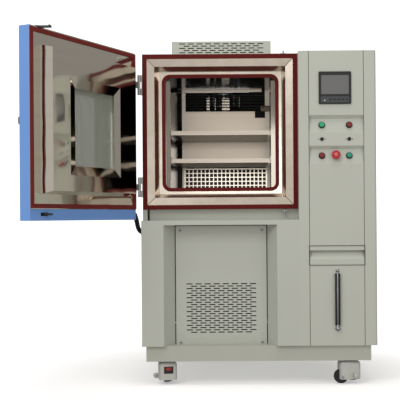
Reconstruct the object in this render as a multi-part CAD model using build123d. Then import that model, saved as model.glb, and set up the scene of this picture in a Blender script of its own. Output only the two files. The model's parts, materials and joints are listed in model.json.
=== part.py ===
from build123d import *
import math
import os

# Environmental test chamber, in millimetres.
# While it is modelled, x = 0 is the middle of the test space, y = 0 the front of the cabinet and z = 0 the floor.
# At the end everything is moved so that the origin is the bottom centre of the whole box, door open.

# Cabinet
body_width = 700.0
column_width = 345.0
body_depth = 900.0
body_top = 1486.0
body_bottom = 178.0
base_bottom = 109.0
base_inset = 17.0
sheet = 1.5
panel_sheet = 2.0
door_step = 62.0

# Test space
space_width = 500.0
space_height = 500.0
space_depth = 400.0
space_centre_z = 1135.0
wall_thickness = 90.0
plenum_depth = 180.0
liner_sheet = 1.2

# Chamber mouth
seal_width = 20.0
seal_height = 4.0
seal_gap = 0.3
frame_half = 348.5
bevel_width = 33.0
bevel_depth = 8.0
step_width = 17.5
step_depth = 44.0
inner_seal_width = 16.0
inner_seal_height = 7.0
inner_seal_radius = 38.0

# Door
door_bottom = 741.0
door_gap = 3.0
door_open_angle = 117.0
hinge_offset = 14.0
plug_half = 288.0
plug_taper = 12.0
plug_centre_z = 1132.0
window_width = 255.0
window_height = 308.0
window_margin = 40.0
window_x = 6.0
window_centre_z = 1112.0
trim_thickness = 10.0
trim_slope = 7.0
tunnel_wall = 6.0
pane_thickness = 4.0
pane_places_y = (6.0, 46.0, 86.0)

# Hinges
knuckle_radius = 7.0
pin_radius = 3.5
pin_clearance = 0.06
hinge_height = 90.0
hinge_centres_z = (1347.0, 887.0)
leaf_sheet = 3.0
knuckle_gap = 0.5

# Latch
latch_x = 272.0
latch_rod_radius = 6.0
claw_reach = 56.0
claw_thickness = 8.0
claw_width = 12.0
claw_toe = 20.0
claw_top_gap = 3.0
latch_turn = 25.0
keeper_radius = 4.0
keeper_offset_x = 15.0
keeper_y = 72.5
bottom_claw_z = 766.0
handle_length = 165.0
handle_z = 1130.0
handle_stand_off = 34.0

# Lower front
cheek_width = 98.0
bevel_inner_half = 209.0
recess_depth = 80.0
sill_bottom = 716.0
sill_top = 737.0
strip_recess = 28.0
vent_panel_half = 205.0
vent_panel_top = 712.0
vent_panel_sheet = 2.0
vent_slot_length = 29.0
vent_slot_width = 4.8
vent_slot_pitch = 41.0
vent_row_pitch = 10.4
vent_rows = 22
vent_columns = 8
vent_centre_z = 340.0
screw_inset = 21.0
screw_radius = 4.5

# Roof fan cover
cover_width = 468.0
cover_height = 96.0
cover_front = 262.0
cover_depth = 500.0
cover_rows = 8
cover_columns = 10

# Column front
column_bend_radius = 12.0
groove_left = 46.0
groove_right = 289.0
groove_width = 2.4
recess_tops_z = (1199.6, 1063.6)
recess_height = 80.0
recess_lip = 15.0
recess_in = 14.0
controller_x = 512.3
controller_z = 1320.0
controller_size = 144.0
controller_depth = 90.0
bezel_proud = 7.0
screen_width = 124.0
screen_height = 87.0
screen_offset_z = 12.6
button_left_x = 453.6
button_right_x = 574.8
stop_x = 515.0
button_radius = 11.0
collar_radius = 15.0
collar_height = 4.0
button_hole_radius = 11.3
button_travel = 4.0
stop_radius = 20.0
socket_z = 1093.0
socket_radius = 7.0

# Water drawer and level gauge
drawer_z = 577.5
drawer_height = 83.0
drawer_width = 243.0
drawer_gap = 1.5
tank_width = 200.0
tank_depth = 300.0
tank_height = 70.0
tank_wall = 3.0
gauge_x = 518.0
gauge_top_z = 511.0
gauge_bottom_z = 255.0
gauge_tube_radius = 6.0
gauge_fitting_radius = 12.0
gauge_channel_width = 23.0

# Shelves and their supports
upright_width = 20.0
upright_sheet = 1.5
upright_front_gap = 10.0
upright_slot_pitch = 25.0
shelf_levels_z = (1138.0, 1011.0)
shelf_width = 452.0
shelf_depth = 365.0
shelf_lip = 19.0
shelf_sheet = 1.5
shelf_hole_radius = 5.0
shelf_hole_pitch = 22.0
shelf_row_pitch = 19.0
runner_width = 14.0
runner_sheet = 1.5
runner_drop = 12.0
shelf_clearance = 0.5
shelf_rest_gap = 0.3

# Rear wall of the test space
baffle_left = -197.0
baffle_right = 232.0
baffle_bottom = 1000.0
baffle_top = 1279.0
baffle_notch_width = 75.0
baffle_notch_height = 32.0
grille_left = -199.0
grille_right = 216.0
grille_pitch = 20.4
grille_bar = 4.4
grille_top = 998.0

# Machinery
fan_wheel_radius = 80.0
fan_wheel_height = 64.0
fan_blades = 24
fan_shaft_radius = 5.0
fan_motor_radius = 52.0
fan_motor_height = 66.0
deck_sheet = 3.0
compressor_radius = 82.0
compressor_height = 230.0
condenser_width = 330.0
condenser_height = 300.0
condenser_y = 330.0
condenser_fan_radius = 120.0
port_radius = 25.0
port_wall = 3.0
port_y = 330.0

# Castors
castor_left_x = -243.0
castor_front_y = 72.0
castor_wheel_radius = 31.5
castor_wheel_width = 24.0
castor_trail = 52.0
castor_axle_radius = 4.0
castor_block = 56.0
castor_window = (50.0, 82.0)
castor_wall = 7.0
castor_plate = 76.0
castor_plate_sheet = 4.0
foot_radius = 18.0
foot_height = 9.0
foot_lift = 15.0
stem_radius = 6.0
thumb_radius = 19.5
thumb_height = 13.0
thumb_z = 66.0

# Conduit from the door to the cabinet
conduit_radius = 11.0
conduit_door_y = 38.0
conduit_door_z = 760.0
conduit_entry_y = 92.0
conduit_entry_z = 686.0
conduit_lead = 30.0
conduit_bend = 17.0
gland_radius = 15.0
gland_length = 12.0

half = body_width / 2
column_right = half + column_width
door_pivot = (-half - hinge_offset, door_step)
space_half = space_width / 2
space_bottom = space_centre_z - space_height / 2
space_top = space_centre_z + space_height / 2
mouth_y = door_step + bevel_depth + step_depth
door_thickness = door_step - 2 * seal_height
plug_front = mouth_y - inner_seal_height - seal_gap
baffle_y = mouth_y + space_depth
liner_back = baffle_y + plenum_depth
nodes = {}


def block(x0, x1, y0, y1, z0, z1):
    """A box between two corners."""
    size = (x1 - x0, y1 - y0, z1 - z0)
    return Pos((x0 + x1) / 2, (y0 + y1) / 2, (z0 + z1) / 2) * Box(*size)


def rod(start, direction, length, radius):
    """A cylinder from a start point along a direction."""
    plane = Plane(origin=start, z_dir=direction)
    return plane * Cylinder(radius, length, align=(Align.CENTER, Align.CENTER, Align.MIN))


def facing(y, centre_z, centre_x=0.0):
    """A plane that looks out of the front, with its x to the right and its y up."""
    return Plane(origin=(centre_x, y, centre_z), x_dir=(1, 0, 0), z_dir=(0, -1, 0))


def side_profile(points, x0, x1):
    """A prism from a profile of (y, z) points, between two values of x."""
    face = Plane(origin=(x0, 0, 0), x_dir=(0, 1, 0), z_dir=(1, 0, 0)) * make_face(Polyline(*points, close=True))
    return extrude(face, amount=x1 - x0)


def frustum(half_1, y_1, half_2, y_2, centre_z=space_centre_z):
    """A square-section taper that runs backwards from one square to another."""
    first = facing(y_1, centre_z) * Rectangle(2 * half_1, 2 * half_1)
    second = facing(y_2, centre_z) * Rectangle(2 * half_2, 2 * half_2)
    return loft([first, second])


def square_ring(outer, inner, y0, y1, outer_radius=0.0, inner_radius=0.0):
    """A flat ring round the mouth, between two values of y."""
    outline = RectangleRounded(2 * outer, 2 * outer, outer_radius) if outer_radius else Rectangle(2 * outer, 2 * outer)
    hole = RectangleRounded(2 * inner, 2 * inner, inner_radius) if inner_radius else Rectangle(2 * inner, 2 * inner)
    return extrude(facing(y1, space_centre_z) * (outline - hole), amount=y1 - y0)


def mitred(ring):
    """The four sides of a square ring round the mouth, parted along its diagonals."""
    wedge = extrude(facing(200, space_centre_z) * make_face(Polyline((0, 0), (-half, half), (half, half), close=True)),
                    amount=200)
    centre = Pos(0, 0, space_centre_z)
    return [ring & (centre * Rot(0, 90 * side, 0) * Pos(0, 0, -space_centre_z) * wedge) for side in range(4)]


def tub(inner_low, inner_high, wall):
    """Five flat slabs round a space that is open at the front: floor, roof, two sides and the back."""
    (x0, y0, z0), (x1, y1, z1) = inner_low, inner_high
    return [block(x0 - wall[0], x1 + wall[0], y0, y1 + wall[1], z0 - wall[2], z0),
            block(x0 - wall[0], x1 + wall[0], y0, y1 + wall[1], z1, z1 + wall[3]),
            block(x0 - wall[0], x0, y0, y1 + wall[1], z0, z1),
            block(x1, x1 + wall[0], y0, y1 + wall[1], z0, z1),
            block(x0, x1, y1, y1 + wall[1], z0, z1)]


def slot_field(rows, columns, centre_z, y_back, depth, pitch=vent_slot_pitch):
    """Staggered slots that cut a front panel."""
    places = []
    for row in range(rows):
        short = (row + 1) % 2
        count = columns - short
        for column in range(count):
            places.append(((column - (count - 1) / 2) * pitch, (row - (rows - 1) / 2) * vent_row_pitch))
    slots = Sketch() + [Pos(*place) * SlotOverall(vent_slot_length, vent_slot_width) for place in places]
    return extrude(facing(y_back, centre_z) * slots, amount=depth)


def keep(name, *pieces):
    """File the solids of one piece, or of a group of like pieces, under its name."""
    nodes[name] = Compound(label=name, children=[solid for piece in pieces for solid in piece.solids()])


def build_carcass():
    """The base frame, the side, rear and roof panels and the roof cover."""
    left = -half + base_inset
    right = column_right - base_inset - 10
    front = base_inset
    back = body_depth - base_inset
    deck = block(left, right, front, back, body_bottom - deck_sheet, body_bottom)
    rail_top = body_bottom - deck_sheet
    rails = [block(left, right, front, front + deck_sheet, base_bottom, rail_top),
             block(left, right, back - deck_sheet, back, base_bottom, rail_top),
             block(left, left + deck_sheet, front + deck_sheet, back - deck_sheet, base_bottom, rail_top),
             block(right - deck_sheet, right, front + deck_sheet, back - deck_sheet, base_bottom, rail_top)]
    bearers = [block(x - 20, x + 20, front + deck_sheet, back - deck_sheet, base_bottom + castor_plate_sheet,
                     base_bottom + castor_plate_sheet + 30) for x in (castor_left_x, castor_right_x)]
    posts = [block(x - 20, x + 20, y - 20, y + 20, base_bottom + castor_plate_sheet + 30, rail_top)
             for x, y in castor_places]
    plates = [block(x - castor_plate / 2, x + castor_plate / 2, y - castor_plate / 2, y + castor_plate / 2,
                    base_bottom, base_bottom + castor_plate_sheet) for x, y in castor_places]
    keep("base_frame", deck, *rails, *bearers, *posts, *plates)

    profile = [(panel_sheet, body_bottom), (body_depth - sheet, body_bottom), (body_depth - sheet, body_top - sheet),
               (door_step, body_top - sheet), (door_step, sill_top), (panel_sheet, sill_top)]
    left_panel = side_profile(profile, -half, -half + sheet)
    left_panel -= rod((-half - 1, port_y, space_centre_z), (1, 0, 0), 10, port_radius + port_wall)
    left_panel -= rod((-half - 1, conduit_entry_y, conduit_entry_z), (1, 0, 0), 10, gland_radius - 3)
    inner_panel = block(half - sheet, half, door_step, body_depth - sheet, body_bottom, body_top - sheet)
    right_panel = block(column_right - sheet, column_right, door_step, body_depth - sheet, body_bottom,
                        body_top - sheet)
    keep("side_panels", left_panel, inner_panel, right_panel)
    keep("rear_panel", block(-half, column_right, body_depth - sheet, body_depth, body_bottom, body_top - sheet))
    roof = block(-half, column_right, door_step, body_depth, body_top - sheet, body_top)
    shaft_hole = rod((0, fan_y, body_top - 10), (0, 0, 1), 20, fan_shaft_radius + 6)
    keep("top_panel", roof - shaft_hole)

    cover_left = -cover_width / 2
    cover_back = cover_front + cover_depth
    cover = block(cover_left, -cover_left, cover_front, cover_back, body_top, body_top + cover_height)
    cover = fillet(cover.edges().filter_by(Axis.Z), 3)
    cover -= block(cover_left + sheet, -cover_left - sheet, cover_front + sheet, cover_back - sheet,
                   body_top, body_top + cover_height - sheet)
    cover -= slot_field(cover_rows, cover_columns, body_top + cover_height / 2, cover_front + 10, 20)
    keep("fan_cover", cover)


def build_lower_front():
    """The cheeks with their bevels, the sill, the recessed strip and the slotted panel."""
    cheek_in = half - cheek_width
    cheeks = []
    for side in (-1, 1):
        outline = Polyline((side * half, panel_sheet), (side * half, 0), (side * cheek_in, 0),
                           (side * bevel_inner_half, recess_depth), (side * (bevel_inner_half + 2), recess_depth),
                           (side * (cheek_in + 1.2), panel_sheet), close=True)
        cheek = extrude(make_face(outline), amount=sill_bottom - body_bottom)
        cheeks.append(Pos(0, 0, body_bottom) * cheek)
    keep("lower_front_cheeks", *cheeks)

    rail = block(-half, half, 0, door_step + strip_recess, sill_bottom, sill_top)
    rail -= block(-half, half, panel_sheet, door_step + strip_recess, sill_bottom, sill_top - panel_sheet)
    strip_back = door_step + strip_recess
    strip_top = space_centre_z - frame_half
    strip_half = frame_half - 26
    strip = block(-strip_half, half - sheet, strip_back - sheet, strip_back, sill_top, strip_top)
    post = block(-half + sheet, -strip_half - 8, door_step + 4, strip_back, sill_top, strip_top)
    rail -= block(-half, -half + sheet, panel_sheet, door_step + strip_recess, sill_bottom, sill_top)
    rail -= block(half - sheet, half, door_step, door_step + strip_recess, sill_bottom, sill_top)
    keep("sill_rail", rail, strip, post)

    panel_bottom = body_bottom
    panel = block(-vent_panel_half, vent_panel_half, recess_depth, recess_depth + vent_panel_sheet,
                  panel_bottom, vent_panel_top)
    panel = fillet(panel.edges().filter_by(Axis.Y), 4)
    panel -= slot_field(vent_rows, vent_columns, vent_centre_z, recess_depth + 10, 20)
    screws = []
    for x in (-vent_panel_half + screw_inset, vent_panel_half - screw_inset):
        for z in (panel_bottom + 8, vent_panel_top - screw_inset):
            panel -= rod((x, recess_depth - 1, z), (0, 1, 0), 10, screw_radius / 2 + 0.2)
            head = rod((x, recess_depth - 2.4, z), (0, 1, 0), 2.4, screw_radius)
            screws.append(head + rod((x, recess_depth, z), (0, 1, 0), 12, screw_radius / 2))
    keep("vent_panel", panel, *screws)


def recess_wedge(top_z, grow=0.0):
    """The hollow of one sloped button recess, or its pressed outside when it grows by the sheet."""
    face_slope = recess_in / (recess_height - recess_lip)
    points = [(-1, top_z + grow), (panel_sheet / 2, top_z + grow), (recess_in + grow, top_z - recess_lip + grow),
              (recess_in + grow, top_z - recess_lip), (grow, top_z - recess_height), (-1, top_z - recess_height
              + face_slope)]
    if not grow:
        points = [(-1, top_z), (0, top_z), (recess_in, top_z - recess_lip), (0, top_z - recess_height),
                  (-1, top_z - recess_height)]
    return side_profile(points, half + groove_left - grow, half + groove_right + grow)


def button_frame(x, top_z, drop=44.0):
    """The plane of a button on the sloped face of a recess, with its z out of the panel."""
    slope = math.atan2(recess_in, recess_height - recess_lip)
    z = top_z - drop
    y = recess_in * (z - (top_z - recess_height)) / (recess_height - recess_lip)
    return Plane(origin=(x, y, z), x_dir=(1, 0, 0), z_dir=(0, -math.cos(slope), math.sin(slope)))


def build_column():
    """The column front with its recesses, and all that sits in it."""
    front = block(half, column_right, 0, door_step, body_bottom, body_top)
    right_edge = front.edges().filter_by(Axis.Z).sort_by(Axis.X)[-2:].sort_by(Axis.Y)[0]
    front = fillet(right_edge, column_bend_radius)
    inside = block(half + panel_sheet, column_right - panel_sheet, panel_sheet, door_step, body_bottom + panel_sheet,
                   body_top - panel_sheet)
    inner_edge = inside.edges().filter_by(Axis.Z).sort_by(Axis.X)[-2:].sort_by(Axis.Y)[0]
    front -= fillet(inner_edge, column_bend_radius - panel_sheet)
    for top_z in recess_tops_z:
        front += recess_wedge(top_z, panel_sheet)
    for top_z in recess_tops_z:
        front -= recess_wedge(top_z)
    for groove in (groove_left, groove_right):
        x = half + groove
        front -= block(x - groove_width / 2, x + groove_width / 2, -1, 0.8, body_bottom - 1, body_top + 1)
    cutout = controller_size / 2 - 4
    front -= block(controller_x - cutout, controller_x + cutout, -5, 30, controller_z - cutout, controller_z + cutout)
    for plane in button_planes.values():
        front -= plane * Cylinder(button_hole_radius, 30)
    for x in (button_left_x, button_right_x):
        front -= rod((x, -5, socket_z), (0, 1, 0), 30, socket_radius)
    drawer_x = half + (groove_left + groove_right) / 2
    hole_left = drawer_x - drawer_width / 2 - drawer_gap
    hole_right = drawer_x + drawer_width / 2 + drawer_gap
    hole_bottom = drawer_z - drawer_height / 2 - drawer_gap
    hole_top = drawer_z + drawer_height / 2 + drawer_gap
    front -= block(hole_left, hole_right, -5, 40, hole_bottom, hole_top)
    for z in (gauge_top_z, gauge_bottom_z):
        front -= rod((gauge_x, -5, z), (0, 1, 0), 30, gauge_tube_radius)
    far = 2 * body_depth
    keep("column_front", front & block(-far, far, -far, far, 0, hole_bottom),
         front & block(-far, hole_left, -far, far, hole_bottom, hole_top),
         front & block(hole_right, far, -far, far, hole_bottom, hole_top),
         front & block(-far, far, -far, far, hole_top, far))

    bezel = extrude(facing(0, controller_z, controller_x) * RectangleRounded(controller_size, controller_size, 5),
                    amount=bezel_proud)
    bezel = chamfer(bezel.faces().sort_by(Axis.Y)[0].edges(), 2)
    case = block(controller_x - cutout + 0.5, controller_x + cutout - 0.5, 0, controller_depth,
                 controller_z - cutout + 0.5, controller_z + cutout - 0.5)
    glass = block(controller_x - screen_width / 2, controller_x + screen_width / 2, -bezel_proud + 0.4,
                  -bezel_proud + 3, controller_z + screen_offset_z - screen_height / 2,
                  controller_z + screen_offset_z + screen_height / 2)
    opening = block(controller_x - screen_width / 2, controller_x + screen_width / 2, -bezel_proud - 1,
                    -bezel_proud + 3, controller_z + screen_offset_z - screen_height / 2,
                    controller_z + screen_offset_z + screen_height / 2)
    keep("controller_body", bezel + case - opening)
    keep("controller_screen", glass)

    collars = []
    for name, plane in button_planes.items():
        outer = plane * Cylinder(collar_radius, collar_height, align=(Align.CENTER, Align.CENTER, Align.MIN))
        sleeve = plane * (Pos(0, 0, -22) * Cylinder(button_hole_radius, 22,
                                                    align=(Align.CENTER, Align.CENTER, Align.MIN)))
        bore = plane * Cylinder(button_radius - 1, 80)
        recessed = plane * (Pos(0, 0, 1) * Cylinder(button_radius + 0.3, 12,
                                                    align=(Align.CENTER, Align.CENTER, Align.MIN)))
        collars.append(outer + sleeve - bore - recessed)
        if name == "emergency_stop":
            cap = plane * (Pos(0, 0, collar_height + button_travel + 2) * Cylinder(
                stop_radius, 12, align=(Align.CENTER, Align.CENTER, Align.MIN)))
            cap = fillet(cap.edges().filter_by(GeomType.CIRCLE), 4)
            stem = plane * (Pos(0, 0, -20 + button_travel) * Cylinder(
                button_radius - 1.06, 26 + collar_height, align=(Align.CENTER, Align.CENTER, Align.MIN)))
            keep(name, cap + stem)
        else:
            cap = plane * (Pos(0, 0, 1 + button_travel) * Cylinder(
                button_radius, 7, align=(Align.CENTER, Align.CENTER, Align.MIN)))
            cap = fillet(cap.edges().filter_by(GeomType.CIRCLE), 1.2)
            stem = plane * (Pos(0, 0, -20 + button_travel) * Cylinder(
                button_radius - 1.06, 22, align=(Align.CENTER, Align.CENTER, Align.MIN)))
            keep(name, cap + stem)
    sockets = []
    for x in (button_left_x, button_right_x):
        flange = rod((x, -2, socket_z), (0, 1, 0), 2, socket_radius + 1.5)
        barrel = rod((x, 0, socket_z), (0, 1, 0), 16, socket_radius)
        sockets.append(flange + barrel - rod((x, -3, socket_z), (0, 1, 0), 12, socket_radius - 2))
        for offset in (-14, 14):
            sockets.append(rod((x + offset, -1.4, socket_z), (0, 1, 0), 1.4, 2.2))
    keep("panel_fittings", *collars, *sockets)

    channel = block(gauge_x - gauge_channel_width / 2, gauge_x + gauge_channel_width / 2, -4, 0,
                    gauge_bottom_z + 13, gauge_top_z - 13)
    channel -= block(gauge_x - gauge_channel_width / 2 + 3, gauge_x + gauge_channel_width / 2 - 3, -5, -1.5,
                     gauge_bottom_z + 12, gauge_top_z - 12)
    tube = rod((gauge_x, -9, gauge_bottom_z + 13), (0, 0, 1), gauge_top_z - gauge_bottom_z - 26, gauge_tube_radius)
    fittings = []
    for z in (gauge_top_z, gauge_bottom_z):
        head = rod((gauge_x, -16, z), (0, 1, 0), 16, gauge_fitting_radius)
        head = fillet(head.edges().group_by(Axis.Y)[0], 3)
        fittings.append(head + rod((gauge_x, 0, z), (0, 1, 0), 20, gauge_tube_radius - 0.2))
    keep("level_gauge", tube - channel, channel, *fittings)

    plate = block(half, column_right - sheet, 700, 703, 640, 1340)
    contactors = [block(half + 70 + 52 * i, half + 114 + 52 * i, 620, 700, z, z + 80)
                  for z in (720, 900, 1080) for i in range(4)]
    keep("electrical_plate", plate, *contactors)


def build_drawer():
    """The water drawer: a front with a finger recess, and the open tank behind it."""
    drawer_x = half + (groove_left + groove_right) / 2
    top = drawer_z + drawer_height / 2
    bottom = drawer_z - drawer_height / 2
    x0 = drawer_x - drawer_width / 2
    x1 = drawer_x + drawer_width / 2
    lip = 19.0
    bar = 25.0
    profile = [(0, bottom), (0, bottom + bar), (22, top - lip), (4, top - lip), (0, top - lip), (0, top), (26, top),
               (26, bottom)]
    front = side_profile(profile, x0, x1)
    tank_x0 = drawer_x - tank_width / 2
    tank = block(tank_x0, tank_x0 + tank_width, 26, 26 + tank_depth, bottom, bottom + tank_height)
    tank -= block(tank_x0 + tank_wall, tank_x0 + tank_width - tank_wall, 26 + tank_wall, 26 + tank_depth - tank_wall,
                  bottom + tank_wall, bottom + 1 + tank_height)
    keep("water_drawer", front, tank)
    tray_z = bottom - drawer_gap
    tray = block(x0 + 8, x1 - 8, panel_sheet, 26 + tank_depth + 10, tray_z - sheet, tray_z)
    tray += block(x0 + 8, x1 - 8, panel_sheet, panel_sheet + sheet, bottom - 14, tray_z)
    nodes["column_front"] = Compound(label="column_front", children=[*nodes["column_front"].solids(),
                                                                     *tray.solids()])


def build_mouth():
    """The square mouth frame with its mirror step, and the two seals."""
    gasket_in = frame_half - seal_width
    step_in = gasket_in - bevel_width
    face_half = step_in - step_width
    bevel_y = door_step + bevel_depth
    skin = 2.0
    outer = square_ring(frame_half, gasket_in, door_step, door_step + skin)
    bevel = frustum(gasket_in + skin, door_step, step_in + skin, bevel_y)
    bevel -= frustum(gasket_in, door_step, step_in, bevel_y)
    step = frustum(step_in + skin, bevel_y, face_half + skin, mouth_y) - frustum(step_in, bevel_y, face_half, mouth_y)
    face = square_ring(face_half + skin, space_half, mouth_y, mouth_y + skin, 0, inner_seal_radius
                       - inner_seal_width)
    keep("mouth_frame", *mitred(outer + bevel + step + face))
    outer_seal = square_ring(frame_half, gasket_in, door_step - seal_height, door_step)
    inner_seal = square_ring(space_half + inner_seal_width, space_half, mouth_y - inner_seal_height, mouth_y,
                             inner_seal_radius, inner_seal_radius - inner_seal_width)
    keep("mouth_seals", *mitred(outer_seal), *mitred(inner_seal))


def build_tank():
    """The inner liner, the insulation round it and the cable port."""
    skin = liner_sheet
    liner_front = mouth_y + 2.0
    inner_low = (-space_half, liner_front, space_bottom)
    inner_high = (space_half, liner_back, space_top)
    shaft_hole = rod((0, fan_y, space_top - 20), (0, 0, 1), 400, fan_shaft_radius + 8)
    port_hole = rod((-half - 10, port_y, space_centre_z), (1, 0, 0), 200, port_radius + port_wall)
    liner = tub(inner_low, inner_high, (skin, skin, skin, skin))
    keep("inner_liner", *[wall - shaft_hole - port_hole for wall in liner])

    foam_front = door_step + 12
    step_in = frame_half - seal_width - bevel_width
    funnel = frustum(step_in + 20, foam_front, space_half + skin + 35, mouth_y + 2)
    foam = tub((-space_half - skin, foam_front, space_bottom - skin), (space_half + skin, liner_back + skin,
               space_top + skin), (half - sheet - space_half - skin, wall_thickness, wall_thickness,
                                   body_top - sheet - space_top - skin))
    keep("cabinet_insulation", *[slab - funnel - shaft_hole - port_hole for slab in foam])

    sleeve = rod((-half - 4, port_y, space_centre_z), (1, 0, 0), half - space_half + 6, port_radius + port_wall)
    flange = rod((-half - 4, port_y, space_centre_z), (1, 0, 0), 4, port_radius + 14)
    sleeve = sleeve + flange - rod((-half - 5, port_y, space_centre_z), (1, 0, 0), 300, port_radius)
    gland = rod((-half - gland_length, conduit_entry_y, conduit_entry_z), (1, 0, 0), gland_length, gland_radius)
    gland += rod((-half, conduit_entry_y, conduit_entry_z), (1, 0, 0), 8, gland_radius - 3.1)
    gland -= rod((-half - gland_length, conduit_entry_y, conduit_entry_z), (1, 0, 0), 6, conduit_radius)
    keep("wall_ports", sleeve, gland)


def build_interior():
    """The uprights, runners, shelves, baffle, grille and what is behind them."""
    upright_y = mouth_y + upright_front_gap
    back_y = baffle_y - upright_front_gap - upright_width
    supports = []
    for side in (-1, 1):
        wall = side * space_half
        for y in (upright_y, back_y):
            face = block(min(wall, wall - side * upright_width), max(wall, wall - side * upright_width), y,
                         y + upright_sheet, space_bottom + 2, space_top - 12)
            web_x = wall - side * upright_width
            web = block(min(web_x, web_x + side * upright_sheet), max(web_x, web_x + side * upright_sheet), y,
                        y + upright_width, space_bottom + 2, space_top - 12)
            upright = face + web
            count = int((space_height - 60) / upright_slot_pitch)
            for i in range(count):
                z = space_bottom + 40 + i * upright_slot_pitch
                upright -= block(web_x - 5, web_x + 5, y + 7, y + 13, z, z + 12)
            supports.append(upright)
    runners = []
    for level in shelf_levels_z:
        for side in (-1, 1):
            x_wall = side * (space_half - upright_width - shelf_clearance)
            x_in = x_wall - side * runner_width
            z = level - runner_sheet
            low_x, high_x = sorted((x_wall, x_in))
            ledge = block(low_x, high_x, upright_y + 6, back_y + upright_width - 4, z - runner_drop,
                          z - runner_drop + runner_sheet)
            riser_x = sorted((x_wall, x_wall - side * runner_sheet))
            riser = block(riser_x[0], riser_x[1], upright_y + 6, back_y + upright_width - 4, z - runner_drop, z + 18)
            runners.append(ledge + riser)
    keep("shelf_supports", *supports, *runners)

    for name, level in zip(("upper_shelf", "lower_shelf"), shelf_levels_z):
        shelf_half = shelf_width / 2 - runner_sheet - shelf_clearance
        front_y = upright_y + 2
        plate_z = level - runner_drop + shelf_rest_gap
        outline = Rectangle(2 * shelf_half, shelf_depth)
        columns = int((2 * shelf_half - 50) / shelf_hole_pitch)
        rows = int((shelf_depth - 50) / shelf_row_pitch)
        holes = []
        for row in range(rows):
            count = columns - row % 2
            for column in range(count):
                x = (column - (count - 1) / 2) * shelf_hole_pitch
                y = (row - (rows - 1) / 2) * shelf_row_pitch
                holes.append(Pos(x, y) * Circle(shelf_hole_radius))
        plate = extrude(Pos(0, front_y + shelf_depth / 2, plate_z) * (outline - holes), amount=shelf_sheet)
        lip = block(-shelf_half, shelf_half, front_y, front_y + shelf_sheet, plate_z, plate_z + shelf_lip)
        rear = block(-shelf_half, shelf_half, front_y + shelf_depth - shelf_sheet, front_y + shelf_depth, plate_z,
                     plate_z + shelf_lip)
        keep(name, plate + lip + rear)

    baffle = block(baffle_left, baffle_right, baffle_y, baffle_y + sheet, baffle_bottom, baffle_top)
    baffle += block(baffle_left, baffle_right, baffle_y - 10, baffle_y + sheet, baffle_top - sheet, baffle_top)
    baffle -= block(baffle_right - baffle_notch_width, baffle_right + 1, baffle_y - 20, baffle_y + 5,
                    baffle_top - baffle_notch_height, baffle_top + 1)
    flange = block(baffle_left - 10, baffle_right - 40, baffle_y - 4, baffle_y + sheet, space_top - 8, space_top)
    legs = [block(x0, x1, baffle_y + sheet, baffle_y + 3 * sheet, space_bottom, space_top)
            for x0, x1 in ((baffle_left - 12, baffle_left + 6), (grille_right - 8, baffle_right + 6))]
    keep("baffle_panel", baffle, flange, *legs)

    width = grille_right - grille_left
    height = grille_top - space_bottom - 3
    columns = int((width - grille_bar) / grille_pitch)
    rows = int((height - grille_bar) / grille_pitch)
    opening = grille_pitch - grille_bar
    holes = [Pos((i - (columns - 1) / 2) * grille_pitch, (j - (rows - 1) / 2) * grille_pitch)
             * Rectangle(opening, opening) for i in range(columns) for j in range(rows)]
    mesh = facing(baffle_y + sheet, space_bottom + height / 2, (grille_left + grille_right) / 2) * (
        Rectangle(width, height) - holes)
    keep("lower_grille", extrude(mesh, amount=sheet))

    coil_y = baffle_y + 60
    fins = [block(-200 + 14 * i, -199 + 14 * i, coil_y, coil_y + 60, space_bottom + 30, baffle_bottom + 130)
            for i in range(29)]
    tubes = [rod((-space_half, coil_y + dy, z), (1, 0, 0), space_width, 5) for dy in (15, 45)
             for z in range(int(space_bottom) + 50, int(baffle_bottom) + 120, 42)]
    coil = fins[0]
    for piece in fins[1:] + tubes:
        coil += piece
    heater = [rod((-space_half, baffle_y + 36, baffle_top - 120 - 18 * i), (1, 0, 0), space_width, 4)
              for i in range(4)]
    pan = block(-160, 160, baffle_y + 20, baffle_y + 56, space_bottom, space_bottom + 26)
    pan -= block(-158, 158, baffle_y + 22, baffle_y + 54, space_bottom + 2, space_bottom + 27)
    probe = rod((baffle_right - 36, baffle_y - 24, baffle_top + 18), (0, 1, 0), 60, 4)
    head = block(baffle_right - 46, baffle_right - 2, baffle_y - 8, baffle_y + sheet, baffle_top, baffle_top + 28)
    keep("air_conditioning", coil, *heater, pan, head + probe)


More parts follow.
